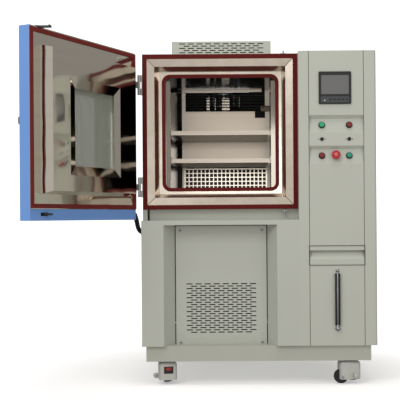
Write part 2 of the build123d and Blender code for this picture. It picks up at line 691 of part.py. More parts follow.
def build_fans():
    """The circulation fan with its motor, and the condenser fan."""
    top = space_top - 14
    low = top - fan_wheel_height
    disc = rod((0, fan_y, top - 3), (0, 0, 1), 3, fan_wheel_radius)
    wheel = disc + rod((0, fan_y, low), (0, 0, 1), fan_wheel_height, 14)
    ring = rod((0, fan_y, low), (0, 0, 1), 3, fan_wheel_radius)
    wheel += ring - rod((0, fan_y, low - 1), (0, 0, 1), 5, fan_wheel_radius - 16)
    for i in range(fan_blades):
        blade = block(fan_wheel_radius - 15, fan_wheel_radius - 1, -0.8, 0.8, low, top)
        wheel += Pos(0, fan_y, 0) * Rot(0, 0, 360 / fan_blades * i) * blade
    shaft = rod((0, fan_y, low), (0, 0, 1), body_top + 14 + fan_motor_height - low, fan_shaft_radius)
    keep("circulation_fan", wheel + shaft)

    motor_low = body_top + 12
    motor = rod((0, fan_y, motor_low), (0, 0, 1), fan_motor_height, fan_motor_radius)
    motor = fillet(motor.edges().filter_by(GeomType.CIRCLE), 4)
    for x, y in ((-40, -40), (-40, 40), (40, -40), (40, 40)):
        motor += block(x - 6, x + 6, fan_y + y - 6, fan_y + y + 6, body_top, motor_low + 6)
    motor -= rod((0, fan_y, body_top - 5), (0, 0, 1), 120, fan_shaft_radius + pin_clearance)
    keep("fan_motor", motor)

    centre_z = body_bottom + 30 + condenser_height / 2
    fan_front = condenser_y - 64
    hub = rod((0, fan_front, centre_z), (0, 1, 0), 30, 24)
    for i in range(6):
        blade = block(20, condenser_fan_radius - 6, fan_front + 8, fan_front + 10.5, -26, 26)
        blade = Pos(0, 0, centre_z) * Rot(0, 60 * i, 0) * blade
        hub += blade
    axle = rod((0, fan_front + 20, centre_z), (0, 1, 0), 32, 4)
    keep("condenser_fan", hub + axle)

    shroud = block(-condenser_width / 2, condenser_width / 2, fan_front - 6, condenser_y,
                   centre_z - condenser_height / 2, centre_z + condenser_height / 2)
    shroud -= block(-condenser_width / 2 + sheet, condenser_width / 2 - sheet, fan_front - 6 + sheet, condenser_y + 1,
                    centre_z - condenser_height / 2 + sheet, centre_z + condenser_height / 2 - sheet)
    shroud -= rod((0, fan_front - 20, centre_z), (0, 1, 0), 40, condenser_fan_radius)
    arm = block(-condenser_width / 2, condenser_width / 2, fan_front + 38, fan_front + 42, centre_z - 8, centre_z + 8)
    boss = rod((0, fan_front + 38, centre_z), (0, 1, 0), 16, 22)
    shroud += arm + boss
    shroud -= rod((0, fan_front, centre_z), (0, 1, 0), 52.5, 4 + pin_clearance)
    core = block(-condenser_width / 2, condenser_width / 2, condenser_y, condenser_y + 44,
                 body_bottom, centre_z + condenser_height / 2)
    for i in range(20):
        x = -condenser_width / 2 + 12 + 16 * i
        core -= block(x, x + 10, condenser_y - 1, condenser_y + 45, body_bottom + 34, centre_z + condenser_height / 2
                      - 6)
    keep("condenser", shroud, core)


def build_refrigeration():
    """The compressor on its feet, with its pipes."""
    x, y = 120.0, 600.0
    shell = rod((x, y, body_bottom + 14), (0, 0, 1), compressor_height, compressor_radius)
    shell = fillet(shell.edges().filter_by(GeomType.CIRCLE), 30)
    for dx, dy in ((-75, -75), (-75, 75), (75, -75), (75, 75)):
        shell += block(x + dx - 16, x + dx + 16, y + dy - 16, y + dy + 16, body_bottom, body_bottom + 22)
    shell += block(x - 85, x + 85, y - 85, y + 85, body_bottom + 14, body_bottom + 22)
    coil_top = body_bottom + 30 + condenser_height
    height = coil_top + 52
    route = FilletPolyline((x - 60, y, body_bottom + compressor_height - 10), (x - 60, y, height),
                           (-120, y, height), (-120, condenser_y + 22, height),
                           (-120, condenser_y + 22, coil_top), radius=24)
    pipe = sweep(Plane(origin=route @ 0, z_dir=route % 0) * Circle(6), path=route)
    keep("compressor", shell, pipe)


def build_hinges():
    """The hinge leaves and knuckles: the outer ones with the pin on the cabinet, the middle one on the door."""
    px, py = door_pivot
    cabinet = []
    door = []
    third = hinge_height / 3
    for centre in hinge_centres_z:
        low = centre - hinge_height / 2
        piece = rod((px, py, low), (0, 0, 1), hinge_height, pin_radius)
        for z in (low, low + 2 * third + knuckle_gap):
            piece += rod((px, py, z), (0, 0, 1), third - knuckle_gap, knuckle_radius)
            piece += block(px, -half, py + 1, py + knuckle_radius, z, z + third - knuckle_gap)
        piece += block(-half - leaf_sheet, -half, py + 2, py + 46, low, low + hinge_height)
        gap = rod((px, py, low + third), (0, 0, 1), third, knuckle_radius + 0.6)
        piece = piece - (gap - rod((px, py, low), (0, 0, 1), hinge_height, pin_radius))
        cabinet.append(piece)
        middle = rod((px, py, low + third + knuckle_gap), (0, 0, 1), third - 2 * knuckle_gap, knuckle_radius)
        leaf = block(-half + door_edge_gap - leaf_sheet, -half + door_edge_gap, py - 48, py - seal_height - 3,
                     low + third + knuckle_gap, low + 2 * third - knuckle_gap)
        web = block(px, -half + door_edge_gap, py - knuckle_radius, py - seal_height - seal_gap,
                    low + third + knuckle_gap, low + 2 * third - knuckle_gap)
        middle += leaf + web
        middle -= rod((px, py, low), (0, 0, 1), hinge_height, pin_radius + pin_clearance)
        door.append(middle)
    keep("cabinet_hinges", *cabinet)
    return door


def build_keepers():
    """The latch keepers: a post on a plate above the door, and one in the strip below the mouth."""
    x = latch_x + keeper_offset_x
    top = rod((x, keeper_y, body_top), (0, 0, 1), claw_top_gap + claw_thickness + 3, keeper_radius)
    top += block(x - 14, x + 14, door_step + 2, door_step + 30, body_top, body_top + 2)
    strip_front = door_step + strip_recess - sheet
    low = bottom_claw_z - claw_thickness / 2 - 5
    bottom = rod((x, keeper_y, low), (0, 0, 1), claw_thickness + 12, keeper_radius)
    high = low + claw_thickness + 12
    bottom += block(x - 5, x + 14, keeper_y - 5, strip_front, high, high + 3)
    keep("latch_keepers", top, bottom)


def build_door():
    """The door, modelled closed: shell, foam, inner plug, seal, window and latch."""
    x0 = -half + door_edge_gap
    x1 = half - door_gap
    skin = sheet
    margin_y = door_thickness - skin
    centre_y = door_thickness / 2
    seal_bottom = space_centre_z - frame_half
    window = window_block(tunnel_wall, -5, door_step + 60)
    slot_low = bottom_claw_z - claw_thickness / 2 - 3
    slot_high = bottom_claw_z + claw_thickness / 2 + 3
    claw_slot = block(latch_x - 26, latch_x + 15, centre_y, door_step, slot_low, slot_high)
    rod_bore = rod((latch_x, centre_y, door_bottom + 8), (0, 0, 1), 900, latch_rod_radius + 1.5)
    handle_slot = block(latch_x - 14, latch_x + 27, -5, centre_y, handle_z - 12, handle_z + 12)
    gland_place = (x0, conduit_door_y, conduit_door_z)

    shell = block(x0, x1, 0, margin_y, door_bottom, body_top)
    shell = fillet(shell.edges().filter_by(Axis.Z).sort_by(Axis.Y)[:2], 4)
    shell -= block(x0 + skin, x1 - skin, skin, margin_y + 1, door_bottom + skin, body_top - skin)
    shell += block(x0, x1, margin_y - skin, margin_y, door_bottom, seal_bottom)
    shell = shell - window - claw_slot - rod_bore - handle_slot
    shell -= rod(gland_place, (1, 0, 0), 10, gland_radius - 5)

    liner = block(x0, x1, margin_y, door_thickness, seal_bottom, body_top)
    plug = frustum(plug_half, margin_y, plug_half - plug_taper, plug_front, plug_centre_z)
    hollow = frustum(plug_half - skin, margin_y - 1, plug_half - plug_taper - skin, plug_front - skin, plug_centre_z)
    liner = liner + plug - hollow - window_block(window_margin, -5, door_step + 60)

    seal = square_ring(frame_half - door_edge_gap, frame_half - seal_width, door_thickness,
                       door_step - seal_height - seal_gap)
    foam = block(x0 + skin, x1 - skin, skin, margin_y - skin, door_bottom + skin, body_top - skin)
    foam = foam - window - rod_bore
    foam -= block(latch_x - 24, latch_x + 34, 0, centre_y + 14, handle_z - 18, handle_z + 18)
    foam -= block(latch_x - 34, latch_x + 34, centre_y - 16, 80, slot_low - 4, slot_high + 4)
    foam -= rod(gland_place, (1, 0, 0), 12, gland_radius)

    front = plug_front
    trim_back = front - trim_thickness
    through = window_block(0, -5, front + 5)
    trim = window_block(window_margin, trim_back, front)
    funnel_front = facing(front, window_centre_z, window_x) * Rectangle(*window_size(window_margin - 2))
    funnel_back = facing(front - trim_slope, window_centre_z, window_x) * Rectangle(*window_size(2))
    inner_trim = trim - loft([funnel_front, funnel_back]) - through
    tunnel = window_block(tunnel_wall, 0, trim_back) - through
    outer_trim = window_block(tunnel_wall + 12, -3, 0) - through
    panes = []
    for y in pane_places_y:
        pane = window_block(tunnel_wall / 2, y, y + pane_thickness)
        tunnel -= pane
        panes.append(pane)

    rod_low = door_bottom + 10
    claw_top_z = body_top + claw_top_gap
    latch = rod((latch_x, centre_y, rod_low), (0, 0, 1), claw_top_z + claw_thickness - rod_low, latch_rod_radius)
    for z in (bottom_claw_z - claw_thickness / 2, claw_top_z):
        arm = block(latch_x - claw_width / 2, latch_x + claw_width / 2, centre_y, centre_y + claw_reach, z,
                    z + claw_thickness)
        toe = block(latch_x - claw_width / 2, latch_x + claw_toe, centre_y + claw_reach - 6, centre_y + claw_reach,
                    z, z + claw_thickness)
        latch += arm + toe + rod((latch_x, centre_y, z), (0, 0, 1), claw_thickness, 11)
    stalk = block(latch_x - 7, latch_x + 7, -handle_stand_off, centre_y, handle_z - 8, handle_z + 8)
    grip = block(latch_x - handle_length, latch_x + 9, -handle_stand_off - 14, -handle_stand_off, handle_z - 15,
                 handle_z + 15)
    grip = fillet(grip.edges(), 5)
    handle = (stalk + grip) - rod((latch_x, centre_y, handle_z - 20), (0, 0, 1), 40, latch_rod_radius)
    unlock = Pos(latch_x, centre_y, 0) * Rot(0, 0, latch_turn) * Pos(-latch_x, -centre_y, 0)
    handle_plate = block(latch_x - 40, latch_x + 52, -4, 0, handle_z - 40, handle_z + 40)
    handle_plate -= handle_slot
    gland = rod(gland_place, (-1, 0, 0), gland_length, gland_radius)
    gland += rod(gland_place, (1, 0, 0), 6, gland_radius - 5.2)
    gland -= rod((x0 - gland_length / 2, conduit_door_y, conduit_door_z), (-1, 0, 0), gland_length, conduit_radius)

    closed = {"door_shell": [shell], "door_insulation": [foam], "door_liner": [liner], "door_seal": [seal],
              "window_frame": [inner_trim + tunnel + outer_trim], "window_panes": panes,
              "door_hinges": build_hinges(), "latch_rod": [unlock * latch, unlock * handle],
              "door_fittings": [handle_plate, gland]}
    px, py = door_pivot
    swing = Pos(px, py, 0) * Rot(0, 0, -door_open_angle) * Pos(-px, -py, 0)
    for name, solids in closed.items():
        keep(name, *[swing * solid for solid in solids])


def window_size(margin):
    """The width and height of the window with a margin all round."""
    return (window_width + 2 * margin, window_height + 2 * margin)


def window_block(margin, y0, y1):
    """A block in the place of the window, larger by a margin all round."""
    width, height = window_size(margin)
    return block(window_x - width / 2, window_x + width / 2, y0, y1, window_centre_z - height / 2,
                 window_centre_z + height / 2)


def swung(x, y):
    """Where a point of the closed door is when the door stands open."""
    px, py = door_pivot
    angle = math.radians(-door_open_angle)
    dx, dy = x - px, y - py
    return (px + dx * math.cos(angle) - dy * math.sin(angle), py + dx * math.sin(angle) + dy * math.cos(angle))


def build_conduit():
    """The flexible conduit that feeds the door, from its lower edge into the side of the cabinet."""
    gland_x = -half + door_edge_gap - gland_length / 2
    start = (*swung(gland_x, conduit_door_y), conduit_door_z)
    bend = (*swung(gland_x - conduit_lead, conduit_door_y), conduit_door_z)
    end_x = -half - gland_length / 2
    route = FilletPolyline(start, bend, (end_x - conduit_lead, conduit_entry_y, conduit_entry_z),
                           (end_x, conduit_entry_y, conduit_entry_z), radius=conduit_bend)
    keep("door_conduit", sweep(Plane(origin=route @ 0, z_dir=route % 0) * Circle(conduit_radius), path=route))
    print("conduit length", route.length)


def build_castors():
    """Levelling castors: swivel body, wheel, and a foot on a screw with its thumbwheel."""
    turns = {"front_left": 12.0, "front_right": 98.0, "rear_left": 20.0, "rear_right": -35.0}
    top = base_bottom
    for (name, turn), (x, y) in zip(turns.items(), castor_places):
        half_block = castor_block / 2
        body = block(-half_block, half_block, -half_block, half_block, 36, top - 6)
        body = fillet(body.edges().filter_by(Axis.Z), 8)
        body -= block(-half_block + castor_wall, half_block - castor_wall, -60, 60, *castor_window)
        body += Pos(0, 0, top - 6) * Cylinder(30, 6, align=(Align.CENTER, Align.CENTER, Align.MIN))
        fork = castor_wheel_width / 2 + 1.0
        for side in (-1, 1):
            low, high = sorted((side * fork, side * (fork + 6)))
            cheek = block(low, high, thumb_radius + 1, castor_trail, 36, 62)
            cheek += rod((low, castor_trail, castor_wheel_radius), (1, 0, 0), 6, 12)
            cheek += block(low, high, castor_trail - 12, castor_trail + 12, castor_wheel_radius, 58)
            body += cheek
        clear = rod((-fork, castor_trail, castor_wheel_radius), (1, 0, 0), 2 * fork, castor_wheel_radius + 2.5)
        body -= clear
        body -= rod((0, 0, 30), (0, 0, 1), top - 36, stem_radius + pin_clearance)
        body += rod((-fork - 5, castor_trail, castor_wheel_radius), (1, 0, 0), 2 * fork + 10, castor_axle_radius)
        wheel = rod((-castor_wheel_width / 2, castor_trail, castor_wheel_radius), (1, 0, 0), castor_wheel_width,
                    castor_wheel_radius)
        wheel = fillet(wheel.edges().filter_by(GeomType.CIRCLE), 3)
        wheel -= rod((-40, castor_trail, castor_wheel_radius), (1, 0, 0), 80, castor_axle_radius + pin_clearance)
        foot = Pos(0, 0, foot_lift) * Cylinder(foot_radius, foot_height, align=(Align.CENTER, Align.CENTER, Align.MIN))
        foot += Pos(0, 0, foot_lift) * Cylinder(stem_radius, top - 8 - foot_lift,
                                                align=(Align.CENTER, Align.CENTER, Align.MIN))
        foot += Pos(0, 0, thumb_z) * Cylinder(thumb_radius, thumb_height,
                                              align=(Align.CENTER, Align.CENTER, Align.MIN))
        place = Pos(x, y, 0) * Rot(0, 0, turn)
        keep(f"castor_body_{name}", place * body)
        keep(f"castor_wheel_{name}", place * wheel)
        keep(f"castor_foot_{name}", place * foot)


door_edge_gap = 3.0
fan_y = baffle_y + plenum_depth / 2
castor_right_x = 2 * (-half + (body_width + column_width) / 2) - castor_left_x
castor_rear_y = body_depth - castor_front_y
castor_places = [(castor_left_x, castor_front_y), (castor_right_x, castor_front_y), (castor_left_x, castor_rear_y),
                 (castor_right_x, castor_rear_y)]
button_planes = {
    "power_on_button": button_frame(button_left_x, recess_tops_z[0]),
    "power_off_button": button_frame(button_right_x, recess_tops_z[0]),
    "alarm_button": button_frame(button_left_x, recess_tops_z[1]),
    "emergency_stop": button_frame(stop_x, recess_tops_z[1]),
    "lamp_button": button_frame(button_right_x, recess_tops_z[1]),
}


def build_all():
    """Build every piece in its place on the model."""
    build_carcass()
    build_lower_front()
    build_column()
    build_drawer()
    build_mouth()
    build_tank()
    build_interior()
    build_fans()
    build_refrigeration()
    build_keepers()
    build_door()
    build_castors()
    build_conduit()


def move_to_origin():
    """The move that puts the bottom centre of the whole box at the origin."""
    boxes = [piece.bounding_box() for piece in nodes.values()]
    low_x, high_x = min(box.min.X for box in boxes), max(box.max.X for box in boxes)
    low_y, high_y = min(box.min.Y for box in boxes), max(box.max.Y for box in boxes)
    low_z, high_z = min(box.min.Z for box in boxes), max(box.max.Z for box in boxes)
    print("size", high_x - low_x, high_y - low_y, high_z - low_z)
    return Pos(-(low_x + high_x) / 2, -(low_y + high_y) / 2, -low_z)


def main():
    """Build the chamber and write one STEP file for each piece."""
    build_all()
    move = move_to_origin()
    print("moved by", move.position, "pieces", len(nodes))
    os.makedirs("parts", exist_ok=True)
    for name, piece in nodes.items():
        export_step(move * piece, f"parts/{name}.step")


if __name__ == "__main__":
    main()
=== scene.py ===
"""The looks of an environmental test chamber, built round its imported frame."""
import json
import logging
import math
from dataclasses import dataclass, field
from enum import Enum

import bmesh
import bpy
from mathutils import Matrix, Vector

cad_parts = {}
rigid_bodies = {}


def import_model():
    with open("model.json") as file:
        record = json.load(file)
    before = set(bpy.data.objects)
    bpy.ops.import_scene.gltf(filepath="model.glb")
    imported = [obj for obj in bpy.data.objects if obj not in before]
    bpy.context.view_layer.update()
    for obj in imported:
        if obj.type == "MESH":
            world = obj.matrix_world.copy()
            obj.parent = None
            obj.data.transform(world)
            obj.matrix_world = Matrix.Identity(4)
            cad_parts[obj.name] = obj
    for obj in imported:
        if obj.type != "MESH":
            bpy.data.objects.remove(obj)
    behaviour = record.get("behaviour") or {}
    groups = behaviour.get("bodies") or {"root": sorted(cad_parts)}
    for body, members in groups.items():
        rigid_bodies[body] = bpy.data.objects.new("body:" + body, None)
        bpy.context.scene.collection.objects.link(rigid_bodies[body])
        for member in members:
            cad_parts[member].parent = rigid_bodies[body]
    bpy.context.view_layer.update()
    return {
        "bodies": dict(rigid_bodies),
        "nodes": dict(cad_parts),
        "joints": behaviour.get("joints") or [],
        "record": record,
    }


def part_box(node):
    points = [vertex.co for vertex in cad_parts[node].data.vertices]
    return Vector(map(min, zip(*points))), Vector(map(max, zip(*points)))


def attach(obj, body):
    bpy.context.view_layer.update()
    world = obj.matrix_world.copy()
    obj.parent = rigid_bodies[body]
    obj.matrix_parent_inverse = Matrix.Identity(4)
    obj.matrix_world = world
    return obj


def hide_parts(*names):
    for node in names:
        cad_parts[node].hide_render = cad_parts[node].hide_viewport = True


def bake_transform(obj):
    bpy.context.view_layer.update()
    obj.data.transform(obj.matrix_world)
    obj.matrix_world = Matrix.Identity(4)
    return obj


log = logging.getLogger("test_chamber")
MM = 0.001
WHITE_LIGHT = (1.0, 1.0, 1.0, 1.0)


def linear(code: str) -> tuple[float, float, float, float]:
    """Turn an sRGB hex value into a linear colour.

    Args:
        code: the colour as six hex digits after a hash.

    Returns:
        The linear red, green and blue, with an alpha of one.
    """
    values = [int(code[i:i + 2], 16) / 255 for i in (1, 3, 5)]
    red, green, blue = (v / 12.92 if v <= 0.04045 else ((v + 0.055) / 1.055) ** 2.4 for v in values)
    return red, green, blue, 1.0


def add_node(tree: bpy.types.NodeTree, kind: str, settings: dict | None = None, **inputs: object) -> bpy.types.Node:
    """Add one shader node with its settings and links.

    Args:
        tree: the node tree to add to.
        kind: the node's type name.
        settings: attributes set on the node itself.
        inputs: a value or an output socket for each input, by its name with underscores for spaces, or by its place
            as i0, i1 and so on where names repeat.

    Returns:
        The new node.
    """
    node = tree.nodes.new(kind)
    for key, value in (settings or {}).items():
        setattr(node, key, value)
    for key, value in inputs.items():
        by_place = key[0] == "i" and key[1:].isdigit()
        socket = node.inputs[int(key[1:]) if by_place else key.replace("_", " ")]
        if isinstance(value, bpy.types.NodeSocket):
            tree.links.new(value, socket)
        else:
            socket.default_value = value
    return node


def new_material(name: str) -> tuple[bpy.types.Material, bpy.types.NodeTree]:
    """Make a material with an empty node tree.

    Args:
        name: the material's name.

    Returns:
        The material and its tree.
    """
    made = bpy.data.materials.new(name)
    made.use_nodes = True
    made.node_tree.nodes.clear()
    return made, made.node_tree


def new_object(name: str, mesh: bmesh.types.BMesh, material: bpy.types.Material) -> bpy.types.Object:
    """Turn a mesh into an object of one material.

    Args:
        name: the object's name, and its mesh's.
        mesh: its mesh, which is used up.
        material: what it is made of.

    Returns:
        The new object.
    """
    data = bpy.data.meshes.new(name)
    mesh.to_mesh(data)
    mesh.free()
    data.materials.append(material)
    made = bpy.data.objects.new(name, data)
    bpy.context.collection.objects.link(made)
    return made


def add_cube(mesh: bmesh.types.BMesh, middle: Vector, size: Vector) -> list[bmesh.types.BMVert]:
    """Add a plain block about a point, both in metres.

    Args:
        mesh: the mesh to add to.
        middle: the block's middle.
        size: its three sides.

    Returns:
        Its corners.
    """
    matrix = Matrix.Translation(middle) @ Matrix.Diagonal((*size, 1.0))
    return bmesh.ops.create_cube(mesh, size=1.0, matrix=matrix)["verts"]


class Texture(Enum):
    """How the surface of a finish is worked."""

    PLAIN = "plain"
    POWDER = "powder"
    BRUSHED = "brushed"
    CAST = "cast"
    FOAM = "foam"


@dataclass(frozen=True)
class Grain:
    """How fine a texture's grain is, how strongly it stands out, and how far it spreads the roughness."""

    scale: float
    height: float
    blur: float


GRAINS = {Texture.POWDER: Grain(900.0, 0.05, 0.05), Texture.BRUSHED: Grain(60.0, 0.0, 0.04),
          Texture.CAST: Grain(260.0, 0.25, 0.10), Texture.FOAM: Grain(420.0, 0.5, 0.05)}
GRAIN_DEPTH = 0.0004
DRIFT_SCALE = 3.5
SWELL_SCALE = 6.0
SWELL_DEPTH = 0.01
LEAST_ROUGH = 0.03
COAT_ROUGH = 0.08
MIX_FIRST, MIX_SECOND, MIX_RESULT = 6, 7, 2


@dataclass(frozen=True)
class Finish:
    """One finish: its colours and how its surface is worked.

    The shade is the second colour that it drifts to, the grain stretches the texture along the three axes, the wave
    is how far sheet metal swells, and the shine is how strongly a surface that isn't metal mirrors.
    """

    name: str
    colour: str
    rough: float = 0.5
    metal: float = 0.0
    texture: Texture = Texture.PLAIN
    shade: str = ""
    coat: float = 0.0
    grain: tuple[float, float, float] = (1.0, 1.0, 1.0)
    wave: float = 0.0
    shine: float = 0.5

    def material(self) -> bpy.types.Material:
        """Make the finish's material, or find the one made before.

        Returns:
            The material of this finish.
        """
        label = f"{self.name}_finish"
        found = bpy.data.materials.get(label)
        if found:
            return found
        made, tree = new_material(label)
        shader = add_node(tree, "ShaderNodeBsdfPrincipled", Base_Color=linear(self.colour), Roughness=self.rough,
                          Metallic=self.metal, Specular_IOR_Level=self.shine)
        if self.coat:
            shader.inputs["Coat Weight"].default_value = self.coat
            shader.inputs["Coat Roughness"].default_value = COAT_ROUGH
        add_node(tree, "ShaderNodeOutputMaterial", Surface=shader.outputs[0])
        if self.texture is not Texture.PLAIN:
            self.work(tree, shader)
        return made

    def work(self, tree: bpy.types.NodeTree, shader: bpy.types.Node) -> None:
        """Give the shader the grain, the colour drift and the relief of its texture.

        Args:
            tree: the material's node tree.
            shader: its principled shader.
        """
        grain = GRAINS[self.texture]
        place = add_node(tree, "ShaderNodeTexCoord")
        spread = add_node(tree, "ShaderNodeMapping", Vector=place.outputs["Object"], Scale=self.grain)
        fine = add_node(tree, "ShaderNodeTexNoise", Vector=spread.outputs[0], Scale=grain.scale, Detail=3.0)
        drift = add_node(tree, "ShaderNodeTexNoise", Vector=spread.outputs[0], Scale=DRIFT_SCALE, Detail=4.0)
        ramp = add_node(tree, "ShaderNodeMapRange", Value=fine.outputs[0],
                        To_Min=max(self.rough - grain.blur, LEAST_ROUGH), To_Max=self.rough + grain.blur)
        tree.links.new(ramp.outputs[0], shader.inputs["Roughness"])
        mix = add_node(tree, "ShaderNodeMix", {"data_type": "RGBA"}, Factor=drift.outputs[0])
        mix.inputs[MIX_FIRST].default_value = linear(self.shade or self.colour)
        mix.inputs[MIX_SECOND].default_value = linear(self.colour)
        tree.links.new(mix.outputs[MIX_RESULT], shader.inputs["Base Color"])
        if self.wave:
            swell = add_node(tree, "ShaderNodeTexNoise", Vector=place.outputs["Object"], Scale=SWELL_SCALE, Detail=1.0)
            bend = add_node(tree, "ShaderNodeBump", Strength=self.wave, Distance=SWELL_DEPTH, Height=swell.outputs[0])
            tree.links.new(bend.outputs[0], shader.inputs["Normal"])
        if grain.height:
            bump = add_node(tree, "ShaderNodeBump", Strength=grain.height, Distance=GRAIN_DEPTH,
                            Height=fine.outputs[0])
            tree.links.new(bump.outputs[0], shader.inputs["Normal"])


CABINET = Finish("cabinet_paint", "#bfc2b9", 0.42, texture=Texture.POWDER, shade="#babdb3")
COLUMN = Finish("column_paint", "#c1c4ba", 0.40, texture=Texture.POWDER, shade="#bbbeb4")
PLINTH = Finish("plinth_paint", "#b9bbb0", 0.45, texture=Texture.POWDER, shade="#b2b4a9")
DOOR_BLUE = Finish("door_blue", "#78a6ea", 0.38, texture=Texture.POWDER, shade="#6f9ee6")
STEEL = Finish("satin_steel", "#d4ccc0", 0.20, 1.0, Texture.BRUSHED, "#c6bdaf", grain=(0.6, 0.6, 22.0))
DOOR_STEEL = Finish("door_steel", "#d9d4cb", 0.07, 1.0, Texture.BRUSHED, "#cfc9be", grain=(0.6, 0.6, 12.0), wave=0.35)
BAFFLE_STEEL = Finish("baffle_steel", "#d3c8ba", 0.36, 1.0, Texture.BRUSHED, "#c6bbad", grain=(0.4, 1.0, 26.0))
# Painted shade: the liner steel is made far darker than the other steels, for the shade inside the enclosed test
# space.
SHADED_LINER_STEEL = Finish("shaded_liner_steel", "#45423e", 0.14, 1.0, Texture.BRUSHED, "#2e2c2a", grain=(1.0, 0.3, 18.0))
# Painted shade: the shelf uprights' steel is made darker than the other steels, for the shade on the test space's
# walls.
SHADED_RAIL_STEEL = Finish("shaded_rail_steel", "#989189", 0.10, 1.0, Texture.BRUSHED, "#857f77", grain=(4.0, 4.0, 0.4))
COIL_METAL = Finish("coil_metal", "#56514a", 0.40, 1.0, Texture.CAST, "#47433d")
SHELF_STEEL = Finish("shelf_steel", "#b9b1a6", 0.30, 1.0, Texture.BRUSHED, "#a89f93", grain=(0.6, 0.6, 22.0))
MOUTH_STEEL = Finish("mouth_steel", "#ebe0d4", 0.24, 1.0, Texture.BRUSHED, "#cbc1b2", grain=(5.0, 1.0, 5.0), wave=0.12)
BRIGHT = Finish("bright_steel", "#e2e0da", 0.12, 1.0)
ZINC = Finish("zinc_plate", "#b8bab9", 0.32, 1.0, Texture.BRUSHED, "#a5a7a6", grain=(4.0, 4.0, 4.0))
SEAL = Finish("seal_rubber", "#641715", 0.6, texture=Texture.POWDER, shade="#561210", shine=0.15)
DOOR_SEAL = Finish("door_seal_rubber", "#7a2520", 0.55, texture=Texture.POWDER, shade="#6b1d19", shine=0.3)
BLACK = Finish("black_plastic", "#1b1c1e", 0.38)
HOSE = Finish("hose_black", "#17181a", 0.45)
DARK = Finish("dark_plastic", "#3e4246", 0.35)
SCREEN = Finish("screen_glass", "#6b6c6c", 0.12, coat=0.6)
RUBBER = Finish("wheel_rubber", "#1e1f20", 0.6, texture=Texture.CAST, shade="#161718")
GREEN = Finish("green_lens", "#1faa75", 0.25, coat=0.4)
RED = Finish("red_lens", "#7d161a", 0.28, coat=0.4)
STOP_RED = Finish("stop_red", "#b0172a", 0.3, coat=0.4)
TEAL = Finish("teal_lens", "#159078", 0.25, coat=0.4)
THUMB_RED = Finish("thumbwheel_red", "#a8322c", 0.45)
CAST = Finish("castor_cast", "#c9cac4", 0.5, texture=Texture.CAST, shade="#bdbeb8")
FOAM = Finish("wall_foam", "#d9c68d", 0.9, texture=Texture.FOAM, shade="#cfba80")
BEIGE = Finish("beige_plastic", "#b9a88c", 0.5)
WHITE = Finish("white_plastic", "#e8e8e4", 0.4)


def glass_material() -> bpy.types.Material:
    """Make the coated glass of the window, grey green and half clear.

    Returns:
        The material of the panes.
    """
    made, tree = new_material("coated_glass")
    shader = add_node(tree, "ShaderNodeBsdfPrincipled", Base_Color=linear("#a9b0a4"), Roughness=0.02, IOR=1.5)
    shader.inputs["Alpha"].default_value = 0.40
    add_node(tree, "ShaderNodeOutputMaterial", Surface=shader.outputs[0])
    return made


@dataclass
class Place:
    """Turns the model's millimetres into the frame's metres."""

    middle_x: float = 0.0
    front_y: float = 0.0
    pivot: tuple[float, float] = (-364.0, 62.0)
    door_angle: float = -117.0

    def __post_init__(self) -> None:
        """Read where the frame holds the middle of the mouth and the front of the column."""
        low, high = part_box("mouth_frame")
        self.middle_x = (low[0] + high[0]) / 2
        self.front_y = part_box("column_front")[0][1]

    def at(self, x: float, y: float, z: float) -> Vector:
        """Where a point of the model is in the frame, in metres."""
        return Vector((x * MM + self.middle_x, y * MM + self.front_y, z * MM))

    def swing(self) -> Matrix:
        """The turn of the door from closed to how it stands."""
        pivot = self.at(*self.pivot, 0)
        turn = Matrix.Rotation(math.radians(self.door_angle), 4, "Z")
        return Matrix.Translation(pivot) @ turn @ Matrix.Translation(-pivot)


@dataclass
class Maker:
    """Makes the small pieces that the frame doesn't have, each as its own object."""

    place: Place

    def finish_piece(self, name: str, mesh: bmesh.types.BMesh, finish: Finish, body: str,
                     smooth: bool = False) -> bpy.types.Object:
        """Turn a mesh into an object that rides on a body.

        Args:
            name: the piece's name.
            mesh: its mesh, which is used up.
            finish: what it is finished in.
            body: the body that carries it.
            smooth: whether its faces are shaded smooth.

        Returns:
            The new object.
        """
        bmesh.ops.recalc_face_normals(mesh, faces=mesh.faces)
        piece = new_object(name, mesh, finish.material())
        if smooth:
            piece.data.shade_smooth()
        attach(piece, body)
        log.info("made %s on %s", name, body)
        return piece

    def add_block(self, mesh: bmesh.types.BMesh, low: tuple, high: tuple, bevel: float = 0.0) -> None:
        """Add a block between two corners in model millimetres, with its edges bevelled.

        Args:
            mesh: the mesh to add to.
            low: the lowest corner.
            high: the highest corner.
            bevel: the width of the bevel in millimetres.
        """
        start, end = self.place.at(*low), self.place.at(*high)
        corners = add_cube(mesh, (start + end) / 2, end - start)
        if bevel:
            edges = list({edge for corner in corners for edge in corner.link_edges})
            bmesh.ops.bevel(mesh, geom=edges, offset=bevel * MM, segments=2, profile=0.5, affect="EDGES")

    def add_rod(self, mesh: bmesh.types.BMesh, start: Vector, end: Vector, radius: float,
                end_radius: float | None = None, sides: int = 32) -> None:
        """Add a round rod or a cone between two points of the frame.

        Args:
            mesh: the mesh to add to.
            start: the first end, in metres.
            end: the other end, in metres.
            radius: the radius at the start, in millimetres.
            end_radius: the radius at the end, the same if none is given.
            sides: how many sides it has.
        """
        along = end - start
        turn = along.to_track_quat("Z", "Y").to_matrix().to_4x4()
        matrix = Matrix.Translation((start + end) / 2) @ turn
        bmesh.ops.create_cone(mesh, cap_ends=True, segments=sides, radius1=radius * MM,
                              radius2=(radius if end_radius is None else end_radius) * MM, depth=along.length,
                              matrix=matrix)


